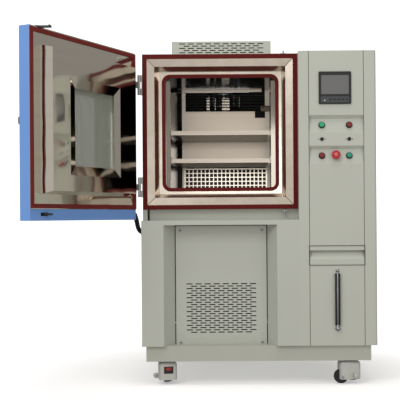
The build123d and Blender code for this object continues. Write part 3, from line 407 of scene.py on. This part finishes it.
@dataclass
class ControlColumn:
    """What is on the control column besides the frame's own pieces.

    Heights and places along the column are measured from the controller's middle, and on the gauge from its ends.
    """

    make: Maker
    controller: tuple[float, float] = (512.3, 1320.0)
    bezel_front: float = -7.0
    band: tuple[float, float] = (-66.0, -39.0)
    band_half: float = 62.0
    key_count: int = 5
    key_start: float = -26.0
    key_pitch: float = 18.0
    key_size: tuple[float, float] = (12.0, 8.0)
    lamp_spot: tuple[float, float] = (-46.0, -4.0)
    lamp_radius: float = 2.6
    rim_half: float = 64.0
    rim_bars: tuple[tuple[float, float], ...] = ((58.0, 62.0), (-33.0, -29.0))
    rim_width: float = 2.5
    rim_span: tuple[float, float] = (-31.0, 60.0)
    slope: float = math.atan2(14.0, 65.0)
    stop_spot: tuple[float, float, float] = (515.0, 7.754, 1019.6)
    stop_height: float = 21.6
    disc_radii: tuple[float, float] = (9.0, 8.2)
    gauge_x: float = 518.0
    gauge_ends: tuple[float, float] = (511.0, 255.0)
    gauge_width: float = 23.0
    gauge_margin: float = 13.0
    gauge_lip: float = 4.0
    gauge_depths: tuple[float, float] = (-4.0, -13.0)
    tube_depth: float = -8.0
    tube_radius: float = 3.4
    top_fitting: tuple[tuple[float, ...], ...] = ((8.0, -6.0, 8.0, 7.4), (-6.0, -9.0, 5.0, 4.0))
    low_fitting: tuple[tuple[float, ...], ...] = ((8.0, -12.0, 12.0, 11.0), (-12.0, -16.0, 8.0, 7.0))
    spigot: tuple[float, float, float, float] = (-6.0, 6.0, 16.0, 7.0)

    def build(self) -> None:
        """Add the controller's lower band, the disc of the stop and the level gauge."""
        self.controller_band()
        self.stop_disc()
        self.gauge()

    def controller_band(self) -> None:
        """The band of keys below the screen with its pilot lamp, and the thin rim round the screen."""
        x, z = self.controller
        front = self.bezel_front
        low, high = self.band
        middle = z + (low + high) / 2
        band = bmesh.new()
        self.make.add_block(band, (x - self.band_half, front - 0.8, z + low),
                            (x + self.band_half, front + 0.2, z + high), 0.6)
        self.make.finish_piece("controller_band", band, DARK, "cabinet")
        keys = bmesh.new()
        width, height = self.key_size
        for i in range(self.key_count):
            left = x + self.key_start + self.key_pitch * i
            self.make.add_block(keys, (left, front - 1.6, middle - height / 2),
                                (left + width, front - 0.5, middle + height / 2), 0.5)
        self.make.finish_piece("controller_keys", keys, BLACK, "cabinet")
        lamp = bmesh.new()
        spot = self.make.place.at(x + self.lamp_spot[0], front - 0.6, middle + self.lamp_spot[1])
        self.make.add_rod(lamp, spot, spot + Vector((0, -1.2 * MM, 0)), self.lamp_radius)
        self.make.finish_piece("controller_lamp", lamp, WHITE, "cabinet")
        rim = bmesh.new()
        spans = [(-self.rim_half, self.rim_half, *bar) for bar in self.rim_bars]
        spans += [(side, side + self.rim_width, *self.rim_span)
                  for side in (-self.rim_half, self.rim_half - self.rim_width)]
        for left, right, bottom, top in spans:
            self.make.add_block(rim, (x + left, front - 0.7, z + bottom), (x + right, front + 0.3, z + top), 0.3)
        self.make.finish_piece("controller_rim", rim, BLACK, "cabinet")

    def stop_disc(self) -> None:
        """The paler disc on the head of the emergency stop."""
        out = Vector((0, -math.cos(self.slope), math.sin(self.slope)))
        head = self.make.place.at(*self.stop_spot) + out * self.stop_height * MM
        mesh = bmesh.new()
        self.make.add_rod(mesh, head, head + out * MM, *self.disc_radii)
        self.make.finish_piece("stop_disc", mesh, Finish("stop_pale", "#cf6a60", 0.35), "stop", True)

    def gauge(self) -> None:
        """The level gauge: a black channel, a clear tube, a screw above and a fitting below."""
        top, bottom = self.gauge_ends
        high, low = top - self.gauge_margin, bottom + self.gauge_margin
        half = self.gauge_width / 2
        x = self.gauge_x
        floor_depth, lip_depth = self.gauge_depths
        channel = bmesh.new()
        self.make.add_block(channel, (x - half, floor_depth, low), (x + half, 0, high), 1.0)
        for side in (-1, 1):
            inner, outer = sorted((side * (half - self.gauge_lip), side * half))
            self.make.add_block(channel, (x + inner, lip_depth, low), (x + outer, 0, high), 1.2)
        piece = self.make.finish_piece("gauge_channel", channel, BLACK, "cabinet")
        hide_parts("level_gauge")
        tube = bmesh.new()
        self.make.add_rod(tube, self.make.place.at(x, self.tube_depth, low),
                          self.make.place.at(x, self.tube_depth, high), self.tube_radius)
        self.make.finish_piece("gauge_tube", tube, Finish("gauge_clear", "#8e9496", 0.12, coat=0.5), "cabinet", True)
        fittings = bmesh.new()
        for z, turned in ((bottom, self.low_fitting), (top, self.top_fitting)):
            for back, front, back_radius, front_radius in turned:
                self.make.add_rod(fittings, self.make.place.at(x, back, z), self.make.place.at(x, front, z),
                                  back_radius, front_radius)
        depth, start, end, radius = self.spigot
        self.make.add_rod(fittings, self.make.place.at(x, depth, bottom + start),
                          self.make.place.at(x, depth, bottom + end), radius)
        self.make.finish_piece("gauge_fittings", fittings, ZINC, "cabinet", True)


@dataclass
class Conduit:
    """The ribbed conduit that feeds the door, bent to reach the door where it stands."""

    make: Maker
    radius: float = 11.0
    root_radius: float = 9.4
    steps: int = 64
    sides: int = 20
    gland: tuple[float, float, float] = (-353.0, 38.0, 760.0)
    entry: tuple[float, float, float] = (-356.0, 92.0, 686.0)
    lead: float = 30.0

    def route(self) -> list[Vector]:
        """The middle line from the door's gland to the cabinet's.

        Returns:
            The points of the line, in the frame, half a rib apart.
        """
        swing = self.make.place.swing()
        x, y, z = self.gland
        corners = [swing @ self.make.place.at(x, y, z), swing @ self.make.place.at(x - self.lead, y, z),
                   self.make.place.at(self.entry[0] - self.lead, *self.entry[1:]), self.make.place.at(*self.entry)]
        line = []
        for i in range(self.steps + 1):
            t = i / self.steps
            legs = [one.lerp(two, t) for one, two in zip(corners, corners[1:])]
            joined = [one.lerp(two, t) for one, two in zip(legs, legs[1:])]
            line.append(joined[0].lerp(joined[1], t))
        return line

    def build(self) -> None:
        """Make the ribbed hose and bend it between the two bodies."""
        line = self.route()
        mesh = bmesh.new()
        rings = []
        for i, point in enumerate(line):
            along = line[min(i + 1, len(line) - 1)] - line[max(i - 1, 0)]
            radius = self.radius if i % 2 else self.root_radius
            here = Matrix.Translation(point) @ along.to_track_quat("Z", "X").to_matrix().to_4x4()
            made = bmesh.ops.create_circle(mesh, segments=self.sides, radius=radius * MM, matrix=here)
            rings.append(list({edge for vert in made["verts"] for edge in vert.link_edges}))
        for one, two in zip(rings, rings[1:]):
            bmesh.ops.bridge_loops(mesh, edges=one + two)
        bmesh.ops.holes_fill(mesh, edges=rings[0] + rings[-1])
        bmesh.ops.recalc_face_normals(mesh, faces=mesh.faces)
        piece = new_object("ribbed_conduit", mesh, HOSE.material())
        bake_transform(piece)
        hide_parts("door_conduit")
        log.info("made %s between cabinet and door", piece.name)


@dataclass
class Mouth:
    """The mitre seams of the mouth frame."""

    make: Maker
    seal_inner: float = 328.5
    bevel_inner: float = 295.5
    bevel_depth: float = 8.0
    front: float = 62.0
    centre_z: float = 1135.0
    seam: float = 1.6
    proud: float = 0.1

    def build(self) -> None:
        """Draw the four mitre seams across the bevel."""
        mesh = bmesh.new()
        for side_x in (-1, 1):
            for side_z in (-1, 1):
                outer, inner = (self.make.place.at(side_x * reach, depth - self.proud, self.centre_z + side_z * reach)
                                for reach, depth in ((self.seal_inner, self.front),
                                                     (self.bevel_inner, self.front + self.bevel_depth)))
                self.make.add_rod(mesh, outer, inner, self.seam / 2, sides=8)
        self.make.finish_piece("mitre_seams", mesh, Finish("seam_shadow", "#5d564d", 0.6), "cabinet", True)


@dataclass
class TestSpace:
    """What stands behind the shelves: painted shade in the fan's bay, its bars, wires, vanes and the sensor's cover.

    The spans of the bars, the vanes and the cover are given across the mouth, and their heights from the baffle's top.
    """

    make: Maker
    half: float = 250.0
    top: float = 1385.0
    floor_z: float = 886.0
    grille_top: float = 1000.0
    baffle_top: float = 1279.0
    baffle_y: float = 514.0
    bay_depth: float = 176.0
    overlap: float = 30.0
    bar_spans: tuple[tuple[float, float], ...] = ((-226.0, -150.0), (-146.0, -40.0), (-36.0, 60.0), (64.0, 130.0))
    bar_drops: tuple[float, float] = (11.0, 6.0)
    wire_count: int = 6
    wire_start: float = 8.0
    wire_pitch: float = 14.0
    wire_margin: float = 12.0
    wire_radius: float = 2.2
    vane_spans: tuple[tuple[float, float], ...] = ((-86.0, -70.0), (-44.0, -40.0), (-8.0, 30.0))
    vane_heights: tuple[float, float] = (4.0, 70.0)
    cover_span: tuple[float, float] = (186.0, 230.0)
    cover_heights: tuple[float, float] = (2.0, 22.0)

    def build(self) -> None:
        """Add the bay's painted shade and what stands in its mouth."""
        self.shade_sheets()
        self.mouth()

    def shade_sheets(self) -> None:
        """Black sheets of painted shade at the bay's back and sides, and behind the lower grille."""
        low = self.baffle_top - self.overlap
        high = self.top - 2
        back = self.baffle_y + self.bay_depth
        shade_sheets = bmesh.new()
        self.make.add_block(shade_sheets, (-self.half + 2, back, low), (self.half - 2, back + 2, high))
        for side in (-1, 1):
            inner, outer = sorted((side * (self.half - 3), side * (self.half - 1)))
            self.make.add_block(shade_sheets, (inner, self.baffle_y + 8, low), (outer, back, high))
        self.make.add_block(shade_sheets, (-self.half + 4, self.baffle_y + 12, self.floor_z),
                            (self.half - 4, self.baffle_y + 14, self.grille_top))
        # Painted shade: near-black sheets stand in for the shade inside the enclosed bay.
        self.make.finish_piece("bay_painted_shade", shade_sheets, Finish("bay_shade_black", "#141414", 0.5), "cabinet")

    def mouth(self) -> None:
        """The broken bar, the wires, the bright vanes and the sensor's cover at the front of the bay."""
        y = self.baffle_y - 3
        bars = bmesh.new()
        deep, shallow = self.bar_drops
        for left, right in self.bar_spans:
            self.make.add_block(bars, (left, y, self.top - deep), (right, y + 3, self.top - shallow), 0.6)
        self.make.finish_piece("bay_bars", bars, BRIGHT, "cabinet")
        wires = bmesh.new()
        reach = self.half - self.wire_margin
        for i in range(self.wire_count):
            z = self.baffle_top + self.wire_start + i * self.wire_pitch
            self.make.add_rod(wires, self.make.place.at(-reach, y + 8, z), self.make.place.at(reach, y + 8, z),
                              self.wire_radius, sides=10)
        self.make.finish_piece("bay_wires", wires, Finish("wire_dark", "#3a3733", 0.35, 1.0), "cabinet", True)
        vanes = bmesh.new()
        low, high = (self.baffle_top + rise for rise in self.vane_heights)
        for left, right in self.vane_spans:
            self.make.add_block(vanes, (left, y + 16, low), (right, y + 18, high), 0.5)
        self.make.finish_piece("bay_vanes", vanes, STEEL, "cabinet")
        cover = bmesh.new()
        left, right = self.cover_span
        low, high = (self.baffle_top + rise for rise in self.cover_heights)
        self.make.add_block(cover, (left, y - 8, low), (right, y + 2, high), 2.0)
        self.make.finish_piece("sensor_cover", cover, BEIGE, "cabinet")


@dataclass
class Castors:
    """The cast housings of the levelling castors, with their windows, lugs, feet and red thumbwheels.

    Each place is a name, where the stem stands, and the castor's turn in degrees. The other sizes are from the stem.
    """

    make: Maker
    places: tuple[tuple[str, float, float, float], ...] = (
        ("front_left", -243.0, 72.0, 12.0), ("front_right", 588.0, 72.0, 98.0),
        ("rear_left", -243.0, 828.0, 20.0), ("rear_right", 588.0, 828.0, -35.0))
    half_width: float = 39.0
    front: float = -31.0
    back: float = 62.0
    low: float = 22.0
    high: float = 103.0
    corner: float = 15.0
    wall: float = 6.0
    lug_height: float = 40.0
    lug_reach: float = 16.0
    lug_neck: float = 20.0
    lug_width: float = 12.0
    lug_radius: float = 11.0
    bolt_radius: float = 5.0
    bolt_proud: float = 1.5
    hub_radii: tuple[float, float] = (7.0, 6.0)
    hub_proud: float = 3.0
    wheel_centre: tuple[float, float] = (52.0, 31.5)
    window: tuple[float, float, float] = (21.0, 51.0, 83.0)
    window_thickness: float = 2.0
    thumb: tuple[float, float, float] = (19.5, 66.0, 79.0)
    thumb_proud: float = 4.0
    rib_count: int = 12
    rib_arc: tuple[float, float] = (195.0, 150.0)
    rib_radius: float = 0.9
    foot_heights: tuple[float, float, float] = (15.0, 24.0, 77.0)
    pad_radii: tuple[float, float] = (18.3, 16.5)
    stem_radius: float = 6.2

    def build(self) -> None:
        """Dress each castor in its own place."""
        for name, x, y, turn in self.places:
            here = Matrix.Translation(self.make.place.at(x, y, 0)) @ Matrix.Rotation(math.radians(turn), 4, "Z")
            self.housing(name, here)
            self.lug(name, here)
            self.window_and_thumb(name, here)
            self.foot(name, here)

    def finish_placed(self, name: str, mesh: bmesh.types.BMesh, here: Matrix, finish: Finish, body: str,
                      smooth: bool = False) -> bpy.types.Object:
        """Move a mesh made about a castor's own stem to where the castor stands, and finish it.

        Args:
            name: the piece's name.
            mesh: its mesh, which is used up.
            here: where the castor stands and how it is turned.
            finish: what it is finished in.
            body: the body that carries it.
            smooth: whether its faces are shaded smooth.

        Returns:
            The new object.
        """
        bmesh.ops.transform(mesh, matrix=here, verts=mesh.verts)
        return self.make.finish_piece(name, mesh, finish, body, smooth)

    def housing(self, name: str, here: Matrix) -> None:
        """The hollow housing: a rounded block that is open underneath.

        Args:
            name: which castor it is.
            here: where the castor stands and how it is turned.
        """
        mesh = bmesh.new()
        size = Vector((2 * self.half_width, self.back - self.front, self.high - self.low)) * MM
        middle = Vector((0, (self.back + self.front) / 2, (self.high + self.low) / 2)) * MM
        add_cube(mesh, middle, size)
        upright = [e for e in mesh.edges if abs(e.verts[0].co.z - e.verts[1].co.z) > size.z / 2]
        top = [e for e in mesh.edges if all(v.co.z > middle.z for v in e.verts)]
        bmesh.ops.bevel(mesh, geom=upright + top, offset=self.corner * MM, segments=5, profile=0.5, affect="EDGES")
        under = [f for f in mesh.faces if f.normal.z < -0.9]
        bmesh.ops.inset_region(mesh, faces=under, thickness=self.wall * MM, use_even_offset=True)
        inner = max((f for f in mesh.faces if f.normal.z < -0.9), key=lambda f: len(f.verts))
        raised = bmesh.ops.extrude_discrete_faces(mesh, faces=[inner])["faces"][0]
        bmesh.ops.translate(mesh, vec=(0, 0, size.z - 2 * self.wall * MM), verts=raised.verts)
        piece = self.finish_placed(f"castor_housing_{name}", mesh, here, CAST, f"castor_{name}")
        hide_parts(f"castor_body_{name}")

    def lug(self, name: str, here: Matrix) -> None:
        """The brake lug beside the housing, its bolt and the ends of the wheel's axle.

        Args:
            name: which castor it is.
            here: where the castor stands and how it is turned.
        """
        across = Vector((0, self.lug_width, 0)) * MM
        start = Vector((-self.half_width - self.lug_reach, -self.lug_width / 2, self.lug_height)) * MM
        lug = bmesh.new()
        self.make.add_rod(lug, start, start + across, self.lug_radius, sides=24)
        add_cube(lug, start + Vector((self.lug_neck / 2, self.lug_width / 2, 0)) * MM,
                 Vector((self.lug_neck, self.lug_width, 2 * self.lug_radius)) * MM)
        self.finish_placed(f"castor_lug_{name}", lug, here, CAST, f"castor_{name}")
        proud = Vector((0, self.bolt_proud, 0)) * MM
        bolts = bmesh.new()
        self.make.add_rod(bolts, start - proud, start + across + proud, self.bolt_radius, sides=20)
        for end in (-1, 1):
            hub = Vector((end * self.half_width, *self.wheel_centre)) * MM
            self.make.add_rod(bolts, hub, hub + Vector((end * self.hub_proud, 0, 0)) * MM, *self.hub_radii, 20)
        self.finish_placed(f"castor_bolts_{name}", bolts, here, ZINC, f"castor_{name}")

    def window_and_thumb(self, name: str, here: Matrix) -> None:
        """The dark window at the front of the housing, and the red thumbwheel that shows in it.

        Args:
            name: which castor it is.
            here: where the castor stands and how it is turned.
        """
        half, low, high = self.window
        pane = bmesh.new()
        add_cube(pane, Vector((0, self.front, (low + high) / 2)) * MM,
                 Vector((2 * half, self.window_thickness, high - low)) * MM)
        bmesh.ops.bevel(pane, geom=list(pane.edges), offset=0.9 * MM, segments=2, profile=0.5, affect="EDGES")
        self.finish_placed(f"thumb_window_{name}", pane, here, BLACK, f"castor_{name}")
        radius, bottom, top = self.thumb
        rise = Vector((0, 0, top - bottom)) * MM
        start = Vector((0, self.front + radius - self.thumb_proud, bottom)) * MM
        wheel = bmesh.new()
        self.make.add_rod(wheel, start, start + rise, radius, sides=40)
        first, arc = self.rib_arc
        for i in range(self.rib_count):
            angle = math.radians(first + arc * i / (self.rib_count - 1))
            rib = start + Vector((math.cos(angle), math.sin(angle), 0)) * radius * MM
            self.make.add_rod(wheel, rib, rib + rise, self.rib_radius, sides=8)
        self.finish_placed(f"thumbwheel_{name}", wheel, here, THUMB_RED, f"foot_{name}")

    def foot(self, name: str, here: Matrix) -> None:
        """The black foot and its stem below the housing.

        Args:
            name: which castor it is.
            here: where the castor stands and how it is turned.
        """
        sole, neck, end = (Vector((0, 0, height * MM)) for height in self.foot_heights)
        pad = bmesh.new()
        self.make.add_rod(pad, sole, neck, *self.pad_radii)
        self.make.add_rod(pad, neck, end, self.stem_radius)
        piece = self.finish_placed(f"foot_pad_{name}", pad, here, RUBBER, f"foot_{name}", True)
        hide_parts(f"castor_foot_{name}")


@dataclass
class FrontTrim:
    """Small trim of the painted front: screws, and painted shade in grooves, round the drawer and behind the slots."""

    make: Maker
    grooves: tuple[float, float] = (396.0, 639.0)
    groove_ends: tuple[float, float] = (178.0, 1486.0)
    groove_half: float = 1.2
    drawer: tuple[float, float, float, float] = (396.0, 639.0, 536.0, 619.0)
    shadow_band: float = 3.0
    vent_half: float = 205.0
    vent_heights: tuple[float, float] = (178.0, 712.0)
    vent_y: float = 80.0
    sheet_margin: float = 20.0
    sheet_depth: float = 9.0
    sheet_heights: tuple[float, float] = (200.0, 480.0)
    screw_inset: float = 21.0
    screw_low_inset: float = 8.0
    head_front: float = 2.3
    head_height: float = 0.8
    head_radii: tuple[float, float] = (5.2, 4.4)
    slot_front: float = 3.4
    slot_half: tuple[float, float] = (3.4, 0.7)

    def build(self) -> None:
        """Add all the trim."""
        self.shadow_trim()
        self.vent_sheet()
        self.screws()

    def shadow_trim(self) -> None:
        """Painted shade in the grooves of the column, and a painted shadow round the water drawer."""
        dark = bmesh.new()
        low, high = self.groove_ends
        for x in self.grooves:
            self.make.add_block(dark, (x - self.groove_half, 0.35, low), (x + self.groove_half, 0.75, high))
        left, right, low, high = self.drawer
        wide = (left - self.shadow_band, right + self.shadow_band)
        for (x0, x1), (z0, z1) in ((wide, (high, high + self.shadow_band)), (wide, (low - self.shadow_band, low)),
                                   ((wide[0], left), (low, high)), ((right, wide[1]), (low, high))):
            self.make.add_block(dark, (x0, -0.8, z0), (x1, 0.4, z1))
        # Painted shade: grey strips darken the column's grooves and outline the water drawer with shadow.
        self.make.finish_piece("front_shadow_trim", dark, Finish("painted_shade_grey", "#5a5a54", 0.6), "cabinet")

    def vent_sheet(self) -> None:
        """A black sheet of painted shade behind the slots of the vent panel."""
        half = self.vent_half - self.sheet_margin
        y = self.vent_y + self.sheet_depth
        low, high = self.sheet_heights
        shade_plate = bmesh.new()
        self.make.add_block(shade_plate, (-half, y, low), (half, y + 1, high))
        # Painted shade: a near-black sheet stands in for the shade behind the vent's slots.
        self.make.finish_piece("vent_painted_shade", shade_plate, Finish("vent_shade_black", "#060606", 0.9), "cabinet")

    def screws(self) -> None:
        """The four cross-slotted screws of the vent panel."""
        reach = self.vent_half - self.screw_inset
        heights = (self.vent_heights[0] + self.screw_low_inset, self.vent_heights[1] - self.screw_inset)
        long, short = self.slot_half
        y = self.vent_y - self.slot_front
        heads = bmesh.new()
        slots = bmesh.new()
        for x, z in ((x, z) for x in (-reach, reach) for z in heights):
            spot = self.make.place.at(x, self.vent_y - self.head_front, z)
            self.make.add_rod(heads, spot, spot + Vector((0, -self.head_height * MM, 0)), *self.head_radii, 24)
            for wide, tall in ((long, short), (short, long)):
                self.make.add_block(slots, (x - wide, y, z - tall), (x + wide, y + 0.4, z + tall))
        self.make.finish_piece("vent_screws", heads, ZINC, "cabinet", True)
        self.make.finish_piece("vent_screw_slots", slots, BLACK, "cabinet")


@dataclass
class Dresser:
    """Gives the frame's own nodes their finishes."""

    frame: dict
    plain: dict[str, Finish] = field(default_factory=lambda: {
        "base_frame": PLINTH, "side_panels": CABINET, "rear_panel": CABINET, "top_panel": CABINET,
        "fan_cover": CABINET, "lower_front_cheeks": CABINET, "sill_rail": CABINET, "vent_panel": CABINET,
        "column_front": COLUMN, "controller_body": BLACK, "controller_screen": SCREEN, "panel_fittings": BLACK,
        "level_gauge": BLACK, "electrical_plate": ZINC, "water_drawer": COLUMN, "mouth_frame": MOUTH_STEEL,
        "mouth_seals": SEAL, "inner_liner": SHADED_LINER_STEEL, "cabinet_insulation": FOAM, "wall_ports": BLACK,
        "shelf_supports": SHADED_RAIL_STEEL, "upper_shelf": SHELF_STEEL, "lower_shelf": SHELF_STEEL,
        "baffle_panel": BAFFLE_STEEL, "lower_grille": STEEL, "air_conditioning": COIL_METAL,
        "circulation_fan": ZINC, "fan_motor": PLINTH,
        "condenser_fan": BLACK, "condenser": ZINC, "compressor": BLACK, "cabinet_hinges": ZINC,
        "latch_keepers": ZINC, "door_shell": DOOR_BLUE, "door_insulation": FOAM, "door_liner": DOOR_STEEL,
        "door_seal": DOOR_SEAL, "window_frame": DOOR_STEEL, "door_hinges": ZINC, "latch_rod": BLACK,
        "door_fittings": BLACK, "door_conduit": HOSE, "power_on_button": GREEN, "power_off_button": RED,
        "alarm_button": RED, "emergency_stop": STOP_RED, "lamp_button": TEAL})

    def dress(self) -> None:
        """Finish every node of the frame."""
        for name in self.frame["nodes"]:
            if name == "window_panes":
                finish = glass_material()
            elif name.startswith("castor_body"):
                finish = CAST.material()
            elif name.startswith("castor_wheel"):
                finish = RUBBER.material()
            elif name.startswith("castor_foot"):
                finish = THUMB_RED.material()
            else:
                finish = self.plain[name].material()
            node = bpy.data.objects[name]
            for slot in node.material_slots:
                slot.material = finish
            log.info("dressed %s in %s", name, finish.name)


@dataclass(frozen=True)
class Lamp:
    """One soft lamp: where it hangs and aims, in metres, its two sides and its power in watts."""

    name: str
    spot: tuple[float, float, float]
    aim: tuple[float, float, float]
    size: tuple[float, float]
    power: float


@dataclass
class Studio:
    """The floor, the surroundings, the lamps and the camera."""

    place: Place
    eye: tuple[float, float, float] = (159.0, -3880.0, 750.0)
    lens: float = 78.84
    shift: tuple[float, float] = (-0.14, 0.0425)
    roll: float = 0.4
    far: float = 60.0
    floor_radius: float = 1.9
    floor_core: float = 0.3
    floor_glow: float = 0.35
    dim: float = 0.34
    bright: float = 0.62
    turn_bright: tuple[float, float] = (0.1, -0.7)
    ground: float = 0.92
    turn_ground: tuple[float, float] = (-0.45, 0.05)
    tint: tuple[float, float, float, float] = (1.0, 0.96, 0.91, 1.0)
    backdrop: float = 1.3
    lamps: tuple[Lamp, ...] = (
        Lamp("key", (-2.4, -4.0, 3.6), (0.0, 0.0, 0.8), (1.6, 2.0), 62.0),
        Lamp("front", (0.16, -4.7, 1.25), (0.1, 0.0, 1.0), (1.3, 0.8), 9.0),
        Lamp("fill", (3.2, -3.4, 1.8), (0.0, 0.0, 0.8), (0.9, 2.2), 13.0),
        Lamp("top", (0.2, -1.2, 4.4), (0.0, 0.2, 0.8), (2.6, 1.2), 30.0),
        Lamp("side", (-4.0, 0.6, 1.6), (-0.4, 0.0, 1.0), (1.0, 1.8), 12.0))

    def build(self) -> None:
        """Set up the whole studio."""
        self.floor()
        self.world()
        self.lights()
        self.camera()

    def floor(self) -> None:
        """Lay a pale round floor under the chamber that fades out into the white around it."""
        mesh = bmesh.new()
        bmesh.ops.create_circle(mesh, cap_ends=True, segments=64, radius=self.floor_radius)
        made, tree = new_material("floor_white")
        place = add_node(tree, "ShaderNodeTexCoord")
        reach = add_node(tree, "ShaderNodeVectorMath", {"operation": "LENGTH"}, i0=place.outputs["Object"])
        fade = add_node(tree, "ShaderNodeMapRange", {"interpolation_type": "SMOOTHSTEP"},
                        Value=reach.outputs["Value"], From_Min=self.floor_radius * self.floor_core,
                        From_Max=self.floor_radius, To_Min=1.0, To_Max=0.0)
        shader = add_node(tree, "ShaderNodeBsdfPrincipled", Base_Color=WHITE_LIGHT, Roughness=0.9,
                          Alpha=fade.outputs[0], Emission_Color=WHITE_LIGHT, Emission_Strength=self.floor_glow)
        add_node(tree, "ShaderNodeOutputMaterial", Surface=shader.outputs[0])
        floor = new_object("floor", mesh, made)
        floor.visible_diffuse = False
        floor.visible_glossy = False

    def world(self) -> None:
        """Surround the chamber with a studio that is brighter in front, with a white backdrop for the eye alone."""
        world = bpy.data.worlds.new("studio")
        world.use_nodes = True
        tree = world.node_tree
        tree.nodes.clear()
        look = add_node(tree, "ShaderNodeTexCoord")
        axes = add_node(tree, "ShaderNodeSeparateXYZ", Vector=look.outputs["Generated"])
        ahead = add_node(tree, "ShaderNodeMapRange", {"interpolation_type": "SMOOTHSTEP"}, Value=axes.outputs[1],
                         From_Min=self.turn_bright[0], From_Max=self.turn_bright[1], To_Min=self.dim,
                         To_Max=self.bright)
        low = add_node(tree, "ShaderNodeMapRange", {"interpolation_type": "SMOOTHSTEP"}, Value=axes.outputs[2],
                       From_Min=self.turn_ground[0], From_Max=self.turn_ground[1], To_Min=self.ground, To_Max=1.0)
        shade = add_node(tree, "ShaderNodeMath", {"operation": "MULTIPLY"}, i0=ahead.outputs[0], i1=low.outputs[0])
        sight = add_node(tree, "ShaderNodeLightPath")
        around = add_node(tree, "ShaderNodeBackground", Color=self.tint, Strength=shade.outputs[0])
        backdrop = add_node(tree, "ShaderNodeBackground", Color=WHITE_LIGHT, Strength=self.backdrop)
        mix = add_node(tree, "ShaderNodeMixShader", i0=sight.outputs["Is Camera Ray"], i1=around.outputs[0],
                       i2=backdrop.outputs[0])
        add_node(tree, "ShaderNodeOutputWorld", Surface=mix.outputs[0])
        bpy.context.scene.world = world

    def lights(self) -> None:
        """Light it softly from the front, from above and from both sides."""
        bpy.context.scene.view_settings.view_transform = "Standard"
        for lamp in self.lamps:
            light = bpy.data.lights.new(lamp.name, "AREA")
            light.shape = "RECTANGLE"
            light.size, light.size_y = lamp.size
            light.energy = lamp.power
            rig = bpy.data.objects.new(lamp.name, light)
            rig.location = lamp.spot
            rig.rotation_euler = (Vector(lamp.aim) - Vector(lamp.spot)).to_track_quat("-Z", "Y").to_euler()
            bpy.context.collection.objects.link(rig)

    def camera(self) -> None:
        """Stand the camera where the picture was taken from."""
        data = bpy.data.cameras.new("camera")
        data.lens = self.lens
        data.shift_x, data.shift_y = self.shift
        data.clip_end = self.far
        camera = bpy.data.objects.new("camera", data)
        camera.location = self.place.at(*self.eye)
        camera.rotation_euler = (math.pi / 2, math.radians(self.roll), 0.0)
        bpy.context.collection.objects.link(camera)
        bpy.context.scene.camera = camera


def main() -> None:
    """Build the looks round the frame, sub-assembly by sub-assembly."""
    logging.basicConfig(level=logging.INFO, format="%(name)s: %(message)s")
    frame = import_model()
    place = Place()
    Dresser(frame).dress()
    maker = Maker(place)
    for assembly in (ControlColumn, Mouth, TestSpace, Castors, FrontTrim, Conduit):
        assembly(maker).build()
    Studio(place).build()


if __name__ == "__main__":
    main()
